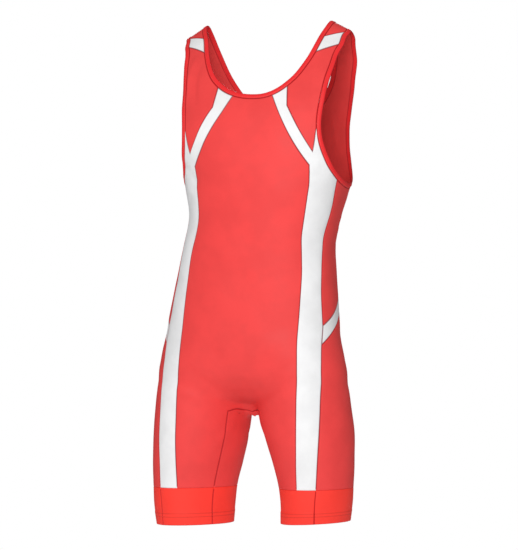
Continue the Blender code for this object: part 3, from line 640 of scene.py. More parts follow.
def make_cut():
    """Every seam of the left half, then the nets of each piece's left half, by name."""
    n, a = neck.at, arm.at
    neck_front = neck.between(n["front_centre"], n["branch_inner"], FRONT_COLUMNS)
    neck_branch = neck.between(n["branch_inner"], n["branch_outer"], STRIPE_COLUMNS)
    neck_yoke = neck.between(n["branch_outer"], n["patch_lower"], YOKE_NECK_ROWS)
    neck_patch = neck.between(n["patch_lower"], n["patch_upper"], PATCH_ROWS)
    neck_crest = neck.between(n["patch_upper"], n["back_strap"], CREST_ROWS)
    neck_back = neck.between(n["back_strap"], n["back_centre"], NECK_BACK_COLUMNS)
    arm_crest = arm.between(a["patch_upper"], a["back_strap"] - arm.around, CREST_ROWS)
    arm_patch = arm.between(a["patch_lower"], a["patch_upper"], PATCH_ROWS)
    arm_yoke = arm.between(a["spike_tip"], a["patch_lower"], YOKE_ARM_ROWS)
    arm_spike = arm.between(a["spike_tip"], a["side_seam"], SPIKE_ROWS)
    arm_side = arm.between(a["back_low"], a["side_seam"], ARMHOLE_SIDE_COLUMNS)
    arm_back = arm.between(a["back_strap"], a["back_low"], ARMHOLE_BACK_ROWS)

    # Seams of the stripe, from the neck down to the hem
    body_rows = CHEST_ROWS + HIP_BAND_ROWS + SEAT_ROWS
    inner_branch = front_seam((flat(neck_branch[0]),) + BRANCH_INNER + (KINK,), BRANCH_ROWS)
    outer_branch = join(
        front_seam((flat(neck_branch[-1]), BRANCH_CORNER), CORNER_ROWS),
        front_seam((BRANCH_CORNER,) + BRANCH_OUTER + (NOTCH,), BRANCH_ROWS - CORNER_ROWS),
    )
    inner_body = front_seam((KINK,) + STRIPE_INNER, body_rows)
    inner_leg = front_seam((STRIPE_INNER[-1],) + STRIPE_INNER_LEG, LEG_ROWS)
    outer_chest = front_seam((flat(arm_spike[-1]),) + STRIPE_OUTER, CHEST_ROWS)
    outer_hip = front_seam((STRIPE_OUTER[-1],) + STRIPE_OUTER_BAND, HIP_BAND_ROWS)
    outer_seat = front_seam((STRIPE_OUTER_BAND[-1],) + STRIPE_OUTER_SEAT, SEAT_ROWS)
    outer_leg = front_seam((STRIPE_OUTER_SEAT[-1],) + STRIPE_OUTER_LEG, LEG_ROWS)
    outer_hem = front_seam((STRIPE_OUTER_LEG[-1],) + STRIPE_OUTER_HEM, BAND_ROWS)
    notch, kink, tip = outer_branch[-1], inner_branch[-1], arm_spike[0]
    spike_inner = straight_seam(tip, notch, SPIKE_ROWS)
    across_branch = straight_seam(kink, notch, STRIPE_COLUMNS)
    across_spike = front_seam((NOTCH, SPIKE_FOOT, flat(arm_spike[-1])), SPIKE_COLUMNS)

    # Seams of the gusset, from under the crotch down the inner leg
    front_centre = centre_line(-1, neck_front[0][2], CROTCH_FRONT_ANGLE, BRANCH_ROWS + body_rows)
    crotch = crotch_line(GUSSET_COLUMNS)
    gusset_front_top = settle(along((crotch[0],) + GUSSET_FRONT_TOP, CROTCH_ROWS))
    gusset_back_top = settle(along((crotch[-1],) + GUSSET_BACK_TOP, CROTCH_ROWS))
    gusset_front_leg = gusset_leg(gusset_front_top[-1], GUSSET_FRONT_ANGLE)
    gusset_back_leg = gusset_leg(gusset_back_top[-1], GUSSET_BACK_ANGLE)
    hem_heights = np.linspace(BAND_TOP, HEM, BAND_ROWS + 1)
    gusset_front_hem = down_leg(GUSSET_FRONT_ANGLE, hem_heights)
    gusset_back_hem = down_leg(GUSSET_BACK_ANGLE, hem_heights)

    # Runs round the leg: at the top of the thigh, at the top of the leg band and at the hem
    back_columns = SEAT_COLUMNS - CROTCH_ROWS
    stripe_columns = STRIPE_COLUMNS + SPIKE_COLUMNS
    thigh, band, hem = (leg_centre(height) for height in (LEG_START, BAND_TOP, HEM))
    thigh_front = round_axis(thigh, gusset_front_top[-1], inner_body[-1], FRONT_LEG_COLUMNS)
    thigh_back = round_axis(thigh, gusset_back_top[-1], outer_seat[-1], back_columns)
    band_front = round_axis(band, gusset_front_leg[-1], inner_leg[-1], FRONT_LEG_COLUMNS)
    band_stripe = round_axis(band, inner_leg[-1], outer_leg[-1], stripe_columns)
    band_back = round_axis(band, gusset_back_leg[-1], outer_leg[-1], back_columns)
    hem_front = round_axis(hem, gusset_front_hem[-1], outer_hem[-1], FRONT_LEG_COLUMNS + stripe_columns)
    hem_back = round_axis(hem, gusset_back_hem[-1], outer_hem[-1], back_columns)

    # Seams of the back and across the straps
    hip_upper = hip_edge(outer_hip[0], "upper")
    hip_lower = hip_edge(outer_hip[-1], "lower")
    yoke_middle = back_middle(neck_back[-1][2], BACK_YOKE_HEIGHT, ARMHOLE_BACK_ROWS)
    back_yoke = round_axis((0, 0), yoke_middle[-1], arm_back[-1], BACK_COLUMNS)
    strap_end = straight_seam(neck_crest[-1], arm_crest[-1], STRAP_COLUMNS)
    patch_lower = straight_seam(neck_patch[0], arm_patch[0], STRAP_COLUMNS)
    patch_upper = straight_seam(neck_patch[-1], arm_patch[-1], STRAP_COLUMNS)
    seat_centre = centre_line(1, hip_lower[0][2], CROTCH_BACK_ANGLE, SEAT_ROWS)

    return {
        "front_panel": (
            coons(
                neck_front, join(gusset_front_top, thigh_front),
                front_centre, join(inner_branch, inner_body),
            ),
            coons(thigh_front, band_front, gusset_front_leg, inner_leg),
        ),
        "stripe": (
            coons(neck_branch, across_branch, inner_branch, outer_branch),
            coons(np.repeat(tip[None], SPIKE_COLUMNS + 1, 0), across_spike, spike_inner, arm_spike),
            coons(
                join(across_branch, across_spike), band_stripe,
                join(inner_body, inner_leg), join(outer_chest, outer_hip, outer_seat, outer_leg),
            ),
        ),
        "chest_yoke": (
            coons(
                patch_lower, np.repeat(notch[None], STRAP_COLUMNS + 1, 0),
                join(neck_yoke[::-1], outer_branch), join(arm_yoke[::-1], spike_inner),
            ),
        ),
        "strap_patch": (coons(patch_upper, patch_lower, neck_patch[::-1], arm_patch[::-1]),),
        "back_panel": (
            coons(patch_upper, strap_end, neck_crest, arm_crest),
            coons(join(neck_back[::-1], strap_end), back_yoke, yoke_middle, arm_back),
            coons(
                join(back_yoke, arm_side), hip_upper,
                back_middle(BACK_YOKE_HEIGHT, hip_upper[0][2], CHEST_ROWS), outer_chest,
            ),
        ),
        "hip_band": (
            coons(
                hip_upper, hip_lower,
                back_middle(hip_upper[0][2], hip_lower[0][2], HIP_BAND_ROWS), outer_hip,
            ),
        ),
        "seat_leg": (
            coons(hip_lower, join(gusset_back_top, thigh_back), seat_centre, outer_seat),
            coons(thigh_back, band_back, gusset_back_leg, outer_leg),
        ),
        "gusset": (
            coons(
                crotch, inner_ring(BAND_TOP),
                join(gusset_front_top, gusset_front_leg), join(gusset_back_top, gusset_back_leg),
            ),
        ),
        "leg_band_front": (
            coons(join(band_front, band_stripe), hem_front, gusset_front_hem, outer_hem),
        ),
        "leg_band_back": (coons(band_back, hem_back, gusset_back_hem, outer_hem),),
        "leg_band_inner": (
            coons(inner_ring(BAND_TOP), inner_ring(HEM), gusset_front_hem, gusset_back_hem),
        ),
        "neck_binding": (binding_net(neck, neck_stations),),
        "armhole_binding": (binding_net(arm, arm_stations),),
    }


cut = make_cut()
print("pieces of the cut:", ", ".join(cut))
print("cells on one side:", sum((net.shape[0] - 1) * (net.shape[1] - 1) for nets in cut.values() for net in nets))

# %% [markdown]
# ## Folds
#
# Stretch knit lies smooth where it is pulled tight, and gathers in soft shallow folds where it has slack:
# below the straps, beside the armholes, in the hollow of the waist and of the back, at the groin, under
# the seat and behind the leg. Each fold is a short curved line on the figure. A ridge with a shallow
# trough on both sides follows it, and fades out at both ends. The folds move points along the figure's
# way out and depend on the place alone, so two pieces that meet still meet.

# %% Soft folds
# Each row: start, middle and end of the fold as (x, y, z), its half width and its height. Minus is a trough.
FOLDS = (
    ((-0.118, -0.040, -0.064), (-0.124, -0.062, -0.100), (-0.116, -0.080, -0.150), 0.0062, 0.0021),
    ((-0.104, -0.050, -0.074), (-0.108, -0.070, -0.105), (-0.098, -0.085, -0.146), 0.0065, -0.0017),
    ((-0.134, -0.035, -0.068), (-0.140, -0.060, -0.110), (-0.134, -0.080, -0.168), 0.0060, -0.0017),
    ((0.116, -0.045, -0.066), (0.124, -0.065, -0.104), (0.127, -0.082, -0.150), 0.0075, 0.0013),
    ((0.103, -0.060, -0.088), (0.108, -0.075, -0.120), (0.104, -0.090, -0.160), 0.0080, -0.0011),
    ((0.138, -0.078, -0.246), (0.128, -0.090, -0.268), (0.108, -0.102, -0.284), 0.0090, -0.0012),
    ((0.146, -0.060, -0.268), (0.136, -0.080, -0.292), (0.116, -0.095, -0.312), 0.0085, 0.0010),
    ((-0.140, -0.075, -0.244), (-0.128, -0.092, -0.270), (-0.104, -0.104, -0.290), 0.0095, -0.0013),
    ((-0.146, -0.058, -0.272), (-0.132, -0.080, -0.300), (-0.110, -0.096, -0.318), 0.0085, 0.0009),
    ((0.144, 0.060, -0.284), (0.128, 0.085, -0.304), (0.098, 0.100, -0.314), 0.0090, 0.0014),
    ((0.150, 0.030, -0.296), (0.138, 0.065, -0.318), (0.112, 0.088, -0.334), 0.0085, -0.0012),
    ((-0.144, 0.062, -0.282), (-0.124, 0.088, -0.300), (-0.094, 0.102, -0.306), 0.0095, 0.0013),
    ((-0.148, 0.034, -0.300), (-0.134, 0.070, -0.324), (-0.104, 0.092, -0.336), 0.0085, -0.0010),
    ((0.128, -0.045, -0.348), (0.139, 0.000, -0.344), (0.124, 0.055, -0.352), 0.0090, 0.0006),
    ((0.132, -0.030, -0.371), (0.139, 0.010, -0.368), (0.118, 0.060, -0.376), 0.0075, 0.0005),
    ((0.130, -0.020, -0.396), (0.139, 0.015, -0.392), (0.116, 0.062, -0.398), 0.0080, -0.0005),
    ((-0.128, -0.040, -0.356), (-0.138, 0.005, -0.350), (-0.120, 0.060, -0.358), 0.0080, 0.0005),
    ((-0.130, -0.030, -0.382), (-0.138, 0.015, -0.378), (-0.112, 0.066, -0.388), 0.0080, -0.0005),
    ((-0.132, -0.015, -0.410), (-0.140, 0.020, -0.404), (-0.120, 0.058, -0.412), 0.0075, 0.0004),
    ((-0.092, 0.084, -0.344), (-0.010, 0.098, -0.336), (0.078, 0.090, -0.350), 0.0100, 0.0015),
    ((-0.070, 0.084, -0.368), (0.014, 0.094, -0.360), (0.096, 0.078, -0.372), 0.0095, -0.0014),
    ((-0.100, 0.070, -0.392), (-0.020, 0.091, -0.384), (0.062, 0.086, -0.394), 0.0090, 0.0016),
    ((-0.050, 0.088, -0.414), (0.030, 0.091, -0.408), (0.100, 0.072, -0.420), 0.0095, -0.0011),
    ((-0.084, 0.080, -0.322), (-0.020, 0.102, -0.312), (0.050, 0.100, -0.318), 0.0100, -0.0010),
    ((0.066, 0.092, -0.118), (0.062, 0.104, -0.158), (0.070, 0.106, -0.204), 0.0090, 0.0011),
    ((-0.072, 0.092, -0.114), (-0.064, 0.104, -0.160), (-0.074, 0.106, -0.210), 0.0095, 0.0012),
    ((0.088, 0.092, -0.130), (0.094, 0.098, -0.180), (0.104, 0.098, -0.232), 0.0090, -0.0009),
    ((-0.090, 0.092, -0.128), (-0.098, 0.098, -0.176), (-0.106, 0.098, -0.226), 0.0090, -0.0009),
    ((-0.082, -0.096, -0.404), (-0.020, -0.104, -0.418), (0.044, -0.103, -0.408), 0.0150, 0.0007),
    ((-0.030, -0.103, -0.452), (0.030, -0.102, -0.462), (0.086, -0.090, -0.448), 0.0160, -0.0006),
    ((0.030, -0.070, -0.672), (0.068, -0.092, -0.638), (0.112, -0.088, -0.606), 0.0110, -0.0014),
    ((0.044, -0.070, -0.690), (0.080, -0.086, -0.664), (0.124, -0.074, -0.642), 0.0090, 0.0010),
    ((-0.028, -0.070, -0.674), (-0.066, -0.092, -0.642), (-0.106, -0.090, -0.612), 0.0115, -0.0015),
    ((-0.046, -0.068, -0.694), (-0.084, -0.084, -0.672), (-0.126, -0.070, -0.656), 0.0090, 0.0009),
    ((-0.020, -0.095, -0.610), (-0.046, -0.099, -0.590), (-0.078, -0.096, -0.574), 0.0120, -0.0008),
    ((0.024, -0.095, -0.606), (0.052, -0.098, -0.586), (0.082, -0.094, -0.566), 0.0120, 0.0007),
    ((0.030, 0.090, -0.672), (0.078, 0.086, -0.690), (0.130, 0.056, -0.682), 0.0120, -0.0018),
    ((-0.030, 0.090, -0.674), (-0.076, 0.086, -0.694), (-0.128, 0.058, -0.688), 0.0120, -0.0017),
    ((0.054, 0.078, -0.712), (0.096, 0.076, -0.722), (0.140, 0.050, -0.714), 0.0090, 0.0010),
    ((-0.058, 0.076, -0.716), (-0.100, 0.075, -0.730), (-0.142, 0.048, -0.724), 0.0090, 0.0011),
    ((0.070, 0.066, -0.776), (0.110, 0.070, -0.784), (0.150, 0.044, -0.778), 0.0085, 0.0009),
    ((-0.064, 0.064, -0.770), (-0.104, 0.070, -0.782), (-0.146, 0.046, -0.776), 0.0090, -0.0009),
    ((0.074, 0.060, -0.804), (0.112, 0.063, -0.812), (0.152, 0.040, -0.806), 0.0080, -0.0008),
    ((-0.076, 0.058, -0.800), (-0.118, 0.062, -0.808), (-0.156, 0.036, -0.802), 0.0080, 0.0009),
    ((0.026, -0.020, -0.716), (0.034, -0.046, -0.738), (0.050, -0.064, -0.766), 0.0085, 0.0009),
    ((-0.026, -0.022, -0.720), (-0.036, -0.048, -0.744), (-0.054, -0.064, -0.776), 0.0085, 0.0010),
    ((-0.028, 0.020, -0.726), (-0.036, 0.044, -0.750), (-0.056, 0.062, -0.768), 0.0085, -0.0009),
    ((0.028, 0.022, -0.722), (0.038, 0.046, -0.744), (0.060, 0.062, -0.760), 0.0085, -0.0009),
    ((0.022, 0.112, -0.610), (0.052, 0.110, -0.590), (0.090, 0.100, -0.582), 0.0130, 0.0007),
    ((-0.020, 0.112, -0.600), (-0.056, 0.109, -0.584), (-0.092, 0.099, -0.578), 0.0130, -0.0007),
)
FOLD_STEPS = 10
WAVE_HEIGHT = 0.00035


def fold_height(p, path, width, height):
    """How far one fold moves each point. With q the distance from its path in half widths, and t the share
    of the way along it, the height is multiplied by (1 - 0.7 q squared), by e to the power of minus
    q squared, and by the square root of the sine of half a turn times t."""
    start, step = path[:-1], np.diff(path, axis=0)
    way = ((p[:, None] - start) * step).sum(-1) / (step**2).sum(-1)
    way = np.clip(way, 0, 1)
    away = np.linalg.norm(p[:, None] - start - way[..., None] * step, axis=-1)
    nearest = away.argmin(1)
    rows = np.arange(len(p))
    q2 = (away[rows, nearest] / width) ** 2
    t = (nearest + way[rows, nearest]) / len(step)
    return height * (1 - 0.7 * q2) * np.exp(-q2) * np.sqrt(np.sin(np.pi * t).clip(0))


def cloth_relief(p):
    """How far the cloth stands off the figure at each point: every fold that is near, and a slight
    unevenness, the product of slow waves along three slanted directions."""
    relief = WAVE_HEIGHT * np.sin(61 * p[:, 0] + 23 * p[:, 2]) * np.sin(47 * p[:, 2] - 19 * p[:, 1])
    relief += 0.5 * WAVE_HEIGHT * np.sin(118 * p[:, 0] - 37 * p[:, 1]) * np.sin(93 * p[:, 2] + 41 * p[:, 0])
    for path, (*_, width, height) in zip(FOLD_PATHS, FOLDS):
        reach = 3.2 * width
        near = ((p > path.min(0) - reach) & (p < path.max(0) + reach)).all(1)
        if near.any():
            relief[near] += fold_height(p[near], path, width, height)
    return relief


# Each fold's path: a smooth line through its three points, laid on the figure
FOLD_PATHS = settle(np.stack([along(row[:3], FOLD_STEPS) for row in FOLDS]))
print("folds placed by hand:", len(FOLDS))

# %% [markdown]
# ## From nets to cloth
#
# A cloth piece is its nets merged into one sheet, then two layers: the inner one on the figure and the
# outer one a cloth's thickness above it. Where two pieces are sewn, the cloth dips to the seam, so two
# narrow rings follow the rim, and the outer layer comes down over them. An attribute called `seam` keeps
# each point's distance from the rim for the materials, and the UV map holds true distances on the cloth.

# %% Sheets, rims and walls
SEAM_DIP = ((0.00002, 0.22), (0.0007, 0.80), (0.0017, 1.0))
FAR_FROM_SEAM = 0.004
MITRE_LEAST = 0.08
SHARP = math.radians(50)


def net_uv(net):
    """True distances on the cloth: across from the net's first run, and down from its top run."""
    across = np.linalg.norm(np.diff(net, axis=1), axis=-1).cumsum(1)
    down = np.linalg.norm(np.diff(net, axis=0), axis=-1).cumsum(0)
    u = np.concatenate([np.zeros((len(net), 1)), across], 1)
    v = np.concatenate([np.zeros((1, net.shape[1])), down], 0)
    return np.stack([u, -v], -1)


def merged_sheet(nets):
    """Nets made one sheet: points that coincide are merged, a cell with a collapsed side becomes a
    triangle, and every face is turned to face out of the figure."""
    points = np.concatenate([net.reshape(-1, 3) for net in nets])
    uv = np.concatenate([net_uv(net).reshape(-1, 2) for net in nets])
    corners, first = [], 0
    for net in nets:
        number = np.arange(net.shape[0] * net.shape[1]).reshape(net.shape[:2]) + first
        corners.append(
            np.stack([number[:-1, :-1], number[1:, :-1], number[1:, 1:], number[:-1, 1:]], -1).reshape(-1, 4)
        )
        first += number.size
    corners = np.concatenate(corners)
    _, unique, index = np.unique(np.round(points, 6), axis=0, return_index=True, return_inverse=True)
    points, index = points[unique], index.reshape(-1)
    diagonals = points[index[corners[:, 2:]]] - points[index[corners[:, :2]]]
    facing = np.cross(diagonals[:, 0], diagonals[:, 1])
    inwards = (facing * outward(points[index[corners]].mean(1))).sum(-1) < 0
    corners[inwards] = corners[inwards, ::-1]
    faces = index[corners]
    collapsed = faces == np.roll(faces, -1, axis=1)
    whole = ~collapsed.any(1)
    triangles = [np.delete(corners[collapsed[:, k]], k, axis=1) for k in range(4)]
    corners = [corners[whole], np.concatenate(triangles)]
    return points, [index[c] for c in corners], [uv[c] for c in corners]


def rim_runs(faces):
    """Each run of the rim from one point to the next, in the direction that the faces turn."""
    runs = np.concatenate([np.stack([f[:, k], np.roll(f, -1, axis=1)[:, k]], -1)
                           for f in faces for k in range(f.shape[1])])
    most = runs.max() + 1
    return runs[~np.isin(runs[:, 0] * most + runs[:, 1], runs[:, 1] * most + runs[:, 0])]


def room_inside(points, faces, rim):
    """How far each rim point may move in: most of the way to the nearest point that isn't on the rim."""
    on_rim = np.zeros(len(points), bool)
    on_rim[rim] = True
    room = np.full(len(points), np.inf)
    for f in faces:
        for k in range(f.shape[1]):
            a, b = f[:, k], np.roll(f, -1, axis=1)[:, k]
            length = np.linalg.norm(points[a] - points[b], axis=1)
            for one, other in ((a, b), (b, a)):
                inner = ~on_rim[other]
                np.minimum.at(room, one[inner], length[inner])
    known = np.isfinite(room)
    runs = np.linalg.norm(points[rim[:, 1]] - points[rim[:, 0]], axis=1)
    least = np.full(len(points), np.inf)
    np.minimum.at(least, rim[:, 0], runs)
    np.minimum.at(least, rim[:, 1], runs)
    return 0.55 * np.where(known, room, least)


def rim_directions(points, rim, way_out):
    """The way from each rim point into the sheet, mitred where the rim turns a corner."""
    into = unit(np.cross(way_out[rim[:, 0]], points[rim[:, 1]] - points[rim[:, 0]]))
    after, before = np.zeros_like(points), np.zeros_like(points)
    after[rim[:, 0]], before[rim[:, 1]] = into, into
    share = 1 + (after * before).sum(-1, keepdims=True)
    return (after + before) / np.maximum(share, MITRE_LEAST)


def cloth_layers(nets, wall, shape_of_wall):
    """Both layers of a piece. Returns points, faces (fours and threes), UV corners and distance from the
    seam. The rim's own points take the innermost ring, and copies of them make the rings outside it."""
    points, faces, uv = merged_sheet(nets)
    rim = rim_runs(faces)
    on_rim, rim_index = np.unique(rim[:, 0], return_inverse=True)
    rank = np.full(len(points), -1)
    rank[on_rim] = np.arange(len(on_rim))
    directions = rim_directions(points, rim, unit(outward(points)))
    room = room_inside(points, faces, rim)
    share = np.minimum(1, room / SEAM_DIP[-1][0])[:, None]
    rings = [points[on_rim] + (distance * share * directions)[on_rim] for distance, _ in SEAM_DIP]
    sheet = points.copy()
    sheet[on_rim] = rings[-1]
    first = len(points)
    numbers = [first + np.arange(len(on_rim)), first + len(on_rim) + np.arange(len(on_rim)), on_rim]
    base = np.concatenate([sheet, rings[0], rings[1]])
    height = np.concatenate([np.ones(first), np.full(len(on_rim), SEAM_DIP[0][1]),
                             np.full(len(on_rim), SEAM_DIP[1][1])])
    seam = np.concatenate([np.full(first, FAR_FROM_SEAM), np.full(len(on_rim), SEAM_DIP[0][0]),
                           np.full(len(on_rim), SEAM_DIP[1][0])])
    seam[on_rim] = SEAM_DIP[2][0]
    here, there = rank[rim[:, 0]], rank[rim[:, 1]]
    strips = [np.stack([outer[here], outer[there], inner[there], inner[here]], -1)
              for outer, inner in zip(numbers[:-1], numbers[1:])]
    corner_uv = np.zeros((len(points), 2))
    for f, c in zip(faces, uv):
        corner_uv[f] = c
    strip_uv = np.stack([corner_uv[rim[:, k]] for k in (0, 1, 1, 0)], 1)
    fours = np.concatenate([faces[0]] + strips)
    fours_uv = np.concatenate([uv[0]] + [strip_uv] * len(strips))
    count = len(base)
    way_out = unit(outward(base))
    place = np.concatenate([corner_uv, corner_uv[on_rim], corner_uv[on_rim]])
    thickness = wall * height * shape_of_wall(base, place)
    relief = cloth_relief(base)
    layers = np.concatenate([
        base + relief[:, None] * way_out,
        base + (relief + thickness)[:, None] * way_out,
    ])
    closing = np.stack([numbers[0][here], numbers[0][there],
                        numbers[0][there] + count, numbers[0][here] + count], -1)
    all_fours = np.concatenate([fours + count, fours[:, ::-1], closing])
    all_threes = np.concatenate([faces[1] + count, faces[1][:, ::-1]])
    all_uv = np.concatenate([
        fours_uv.reshape(-1, 2), fours_uv[:, ::-1].reshape(-1, 2), strip_uv.reshape(-1, 2),
        uv[1].reshape(-1, 2), uv[1][:, ::-1].reshape(-1, 2),
    ])
    return layers, (all_fours, all_threes), all_uv, np.concatenate([seam, seam])


def mirrored(nets):
    return tuple(net * np.array((-1, 1, 1)) for net in nets)


def mesh_piece(name, points, faces, uv, seam, height, finish):
    """A mesh object at the origin from arrays, shaded smooth, with its UV map, the distance of each point
    from a seam and its height above the hem."""
    mesh = bpy.data.meshes.new(name)
    mesh.from_pydata(points.tolist(), [], faces[0].tolist() + faces[1].tolist())
    mesh.shade_smooth()
    mesh.set_sharp_from_angle(angle=SHARP)
    mesh.uv_layers.new(name="cloth").data.foreach_set("uv", uv.astype(np.float32).ravel())
    for word, values in (("seam", seam), ("above_hem", height)):
        mesh.attributes.new(word, "FLOAT", "POINT").data.foreach_set("value", values.astype(np.float32))
    mesh.materials.append(finish)
    piece = bpy.data.objects.new(name, mesh)
    bpy.context.scene.collection.objects.link(piece)
    return piece


print("rings that bring the cloth down to a seam:", len(SEAM_DIP))

# %% [markdown]
# ## The knit
#
# The cloth is a smooth tricot of nylon with elastane. Close up it is fine columns of small slanted loops;
# from further off it is a colour with a soft broad shine. The material makes the loops as a bump from the
# UV map, so they run down the garment and keep their size, varies the colour a little as a worn cloth
# varies, and paints shade a hair's breadth wide along each seam, where the cloth turns in.

# %% Materials
WALE = 0.00075
COURSE = 0.00060
RED = (0.790, 0.054, 0.052)
BRIGHT_RED = (0.950, 0.045, 0.030)
BINDING_RED = (0.800, 0.024, 0.028)
WHITE = (0.800, 0.800, 0.805)
# Seam shade colours, painted shade in the groove along each seam: for the red cloth and binding, the leg band,
# and the white cloth.
SEAM_SHADE_RED = (0.500, 0.016, 0.020)
BAND_SEAM_SHADE = (0.600, 0.016, 0.016)
SEAM_SHADE_GREY = (0.300, 0.150, 0.165)
THREAD = (0.950, 0.085, 0.065)
HEM_LINES = (0.0220, 0.0158)
# How far below each stitched hem line the painted shade of the drawn-in cloth lies.
SHADE_BELOW_STITCH = 0.0009
# How much of the painted seam shade is kept at the band's top.
SEAM_SHADE_AT_BAND = 0.12


class Nodes:
    """A short way to add nodes to a material and join them."""

    def __init__(self, name):
        self.material = bpy.data.materials.new(name)
        self.material.use_nodes = True
        self.tree = self.material.node_tree
        self.shader = self.tree.nodes["Principled BSDF"]

    def add(self, kind, settings=None, **inputs):
        """One node. Settings are its own properties, and inputs are numbers or another node's output."""
        node = self.tree.nodes.new(kind)
        for key, value in (settings or {}).items():
            setattr(node, key, value)
        for key, value in inputs.items():
            socket = node.inputs[int(key[1:]) if key[1:].isdigit() else key.replace("_", " ")]
            self.give(socket, value)
        return node

    def give(self, socket, value):
        if isinstance(value, bpy.types.NodeSocket):
            self.tree.links.new(value, socket)
        else:
            socket.default_value = value

    def math(self, operation, a, b=0.0):
        return self.add("ShaderNodeMath", {"operation": operation}, i0=a, i1=b).outputs[0]

    def between(self, value, source, target):
        """The value taken smoothly from the source's range to the target's."""
        return self.add("ShaderNodeMapRange", {"interpolation_type": "SMOOTHSTEP"},
                        i0=value, i1=source[0], i2=source[1], i3=target[0], i4=target[1]).outputs[0]


def knit(name, colour, seam_shade_colour, roughness=0.55, lines=()):
    """Stretch knit of one colour. The bump is the sine of the place across in wales, plus half the sine of
    the place down in courses shifted by the first, so the loops lean to and fro. Beside a seam the colour
    turns to a darker seam shade colour, painted shade where the cloth turns into the seam, except at the
    band's top, where it nearly keeps its own. Each line is a height above the hem that is stitched, and
    just below it the colour is darker over a millimetre: painted shade where the stitching draws the cloth in."""
    made = Nodes(name)
    uv = made.add("ShaderNodeUVMap", {"uv_map": "cloth"}).outputs[0]
    place = made.add("ShaderNodeSeparateXYZ", i0=uv).outputs
    across = made.math("SINE", made.math("MULTIPLY", place[0], 2 * math.pi / WALE))
    lean = made.math("MULTIPLY", across, 1.3)
    down = made.math("SINE", made.math("ADD", made.math("MULTIPLY", place[1], 2 * math.pi / COURSE), lean))
    loops = made.math("ADD", across, made.math("MULTIPLY", down, 0.5))
    bump = made.add("ShaderNodeBump", Strength=0.25, Distance=0.00008, Height=loops)
    where = made.add("ShaderNodeTexCoord").outputs["Object"]
    mottle = made.add("ShaderNodeTexNoise", Vector=where, Scale=22.0, Detail=3.0, Roughness=0.55)
    shade = made.between(mottle.outputs[0], (0.3, 0.7), (0.955, 1.03))
    above_hem = made.add("ShaderNodeAttribute", {"attribute_name": "above_hem"}).outputs["Fac"]
    # Painted shade: darker just below each stitched line, where the stitching draws the cloth in.
    for height in lines:
        away = made.math("ABSOLUTE", made.math("SUBTRACT", above_hem, height - SHADE_BELOW_STITCH))
        shade = made.math("MULTIPLY", shade, made.between(away, (0.0003, 0.0013), (0.80, 1.0)))
    # Painted shade along each seam: the colour turns to the seam shade colour, with little of it at the band's
    # top.
    from_top = made.math("ABSOLUTE", made.math("SUBTRACT", above_hem, BAND_TOP - HEM))
    depth = made.between(from_top, (0.0015, 0.0040), (SEAM_SHADE_AT_BAND, 1.0))
    seam = made.add("ShaderNodeAttribute", {"attribute_name": "seam"}).outputs["Fac"]
    share = made.math("MULTIPLY", made.between(seam, (0.0004, 0.0021), (1.0, 0.0)), depth)
    seam_shaded = made.add("ShaderNodeMix", {"data_type": "RGBA"}, i0=share, i6=(*colour, 1), i7=(*seam_shade_colour, 1))
    mixed = made.add("ShaderNodeVectorMath", {"operation": "SCALE"}, i0=seam_shaded.outputs[2], Scale=shade)
    rough = made.between(mottle.outputs[0], (0.3, 0.7), (roughness - 0.04, roughness + 0.05))
    made.give(made.shader.inputs["Base Color"], mixed.outputs[0])
    made.give(made.shader.inputs["Roughness"], rough)
    made.give(made.shader.inputs["Normal"], bump.outputs[0])
    made.shader.inputs["Specular IOR Level"].default_value = 0.22
    return made.material


def sewing_thread(name, colour):
    """Twisted polyester thread: fine slanted ridges along each stitch."""
    made = Nodes(name)
    where = made.add("ShaderNodeTexCoord").outputs["Object"]
    twist = made.add("ShaderNodeTexNoise", Vector=where, Scale=1800.0, Detail=2.0)
    bump = made.add("ShaderNodeBump", Strength=0.3, Distance=0.00006, Height=twist.outputs[0])
    tone = made.add("ShaderNodeMapRange", i0=twist.outputs[0], i1=0.3, i2=0.7, i3=0.85, i4=1.08)
    mixed = made.add("ShaderNodeVectorMath", {"operation": "SCALE"}, i0=colour, Scale=tone.outputs[0])
    made.give(made.shader.inputs["Base Color"], mixed.outputs[0])
    made.give(made.shader.inputs["Normal"], bump.outputs[0])
    made.shader.inputs["Roughness"].default_value = 0.42
    made.shader.inputs["Sheen Weight"].default_value = 0.1
    return made.material


# Each finish: its own colour, then the colour of its painted seam shade.
FINISHES = {
    "body": knit("red knit", RED, SEAM_SHADE_RED),
    "stripe": knit("white knit", WHITE, SEAM_SHADE_GREY),
    "leg band": knit("bright red knit", BRIGHT_RED, BAND_SEAM_SHADE, lines=HEM_LINES),
    "binding": knit("binding knit", BINDING_RED, SEAM_SHADE_RED, roughness=0.48),
}
thread = sewing_thread("red thread", THREAD)
print("materials:", ", ".join(m.name for m in FINISHES.values()), "and", thread.name)

# %% [markdown]
# ## The panels
#
# Every panel of the cut is made the same way, and stands for its CAD node. A piece that crosses the middle
# joins its left nets with their mirror image; the others come as a pair. The hem of each leg band is turned
# up inside, so the doubled part stands prouder below its stitching. Each sheet says the size of its flat
# cut, which is smaller than the worn cloth, because the knit is stretched by about a seventh.

# %% Make every panel
HEM_TURN_UP = 0.0235
HEM_PROUD = 0.45
STRETCH = 1.15


def plain_wall(p, place):
    """One thickness all over."""
    return np.ones(len(p))


def hem_wall(p, place):
    """The leg band's wall: thicker by a share where the hem is turned up inside."""
    return 1 + HEM_PROUD * fade((HEM + HEM_TURN_UP - p[:, 2]) / 0.002 + 0.5)


def crowned_wall(p, place):
    """A binding's wall: with s the share of its width, three quarters and a quarter of one less |2s - 1|
    cubed, so it is fullest along its middle."""
    return 0.75 + 0.25 * (1 - np.abs(-2 * place[:, 1] / BINDING_WIDTH - 1) ** 3)


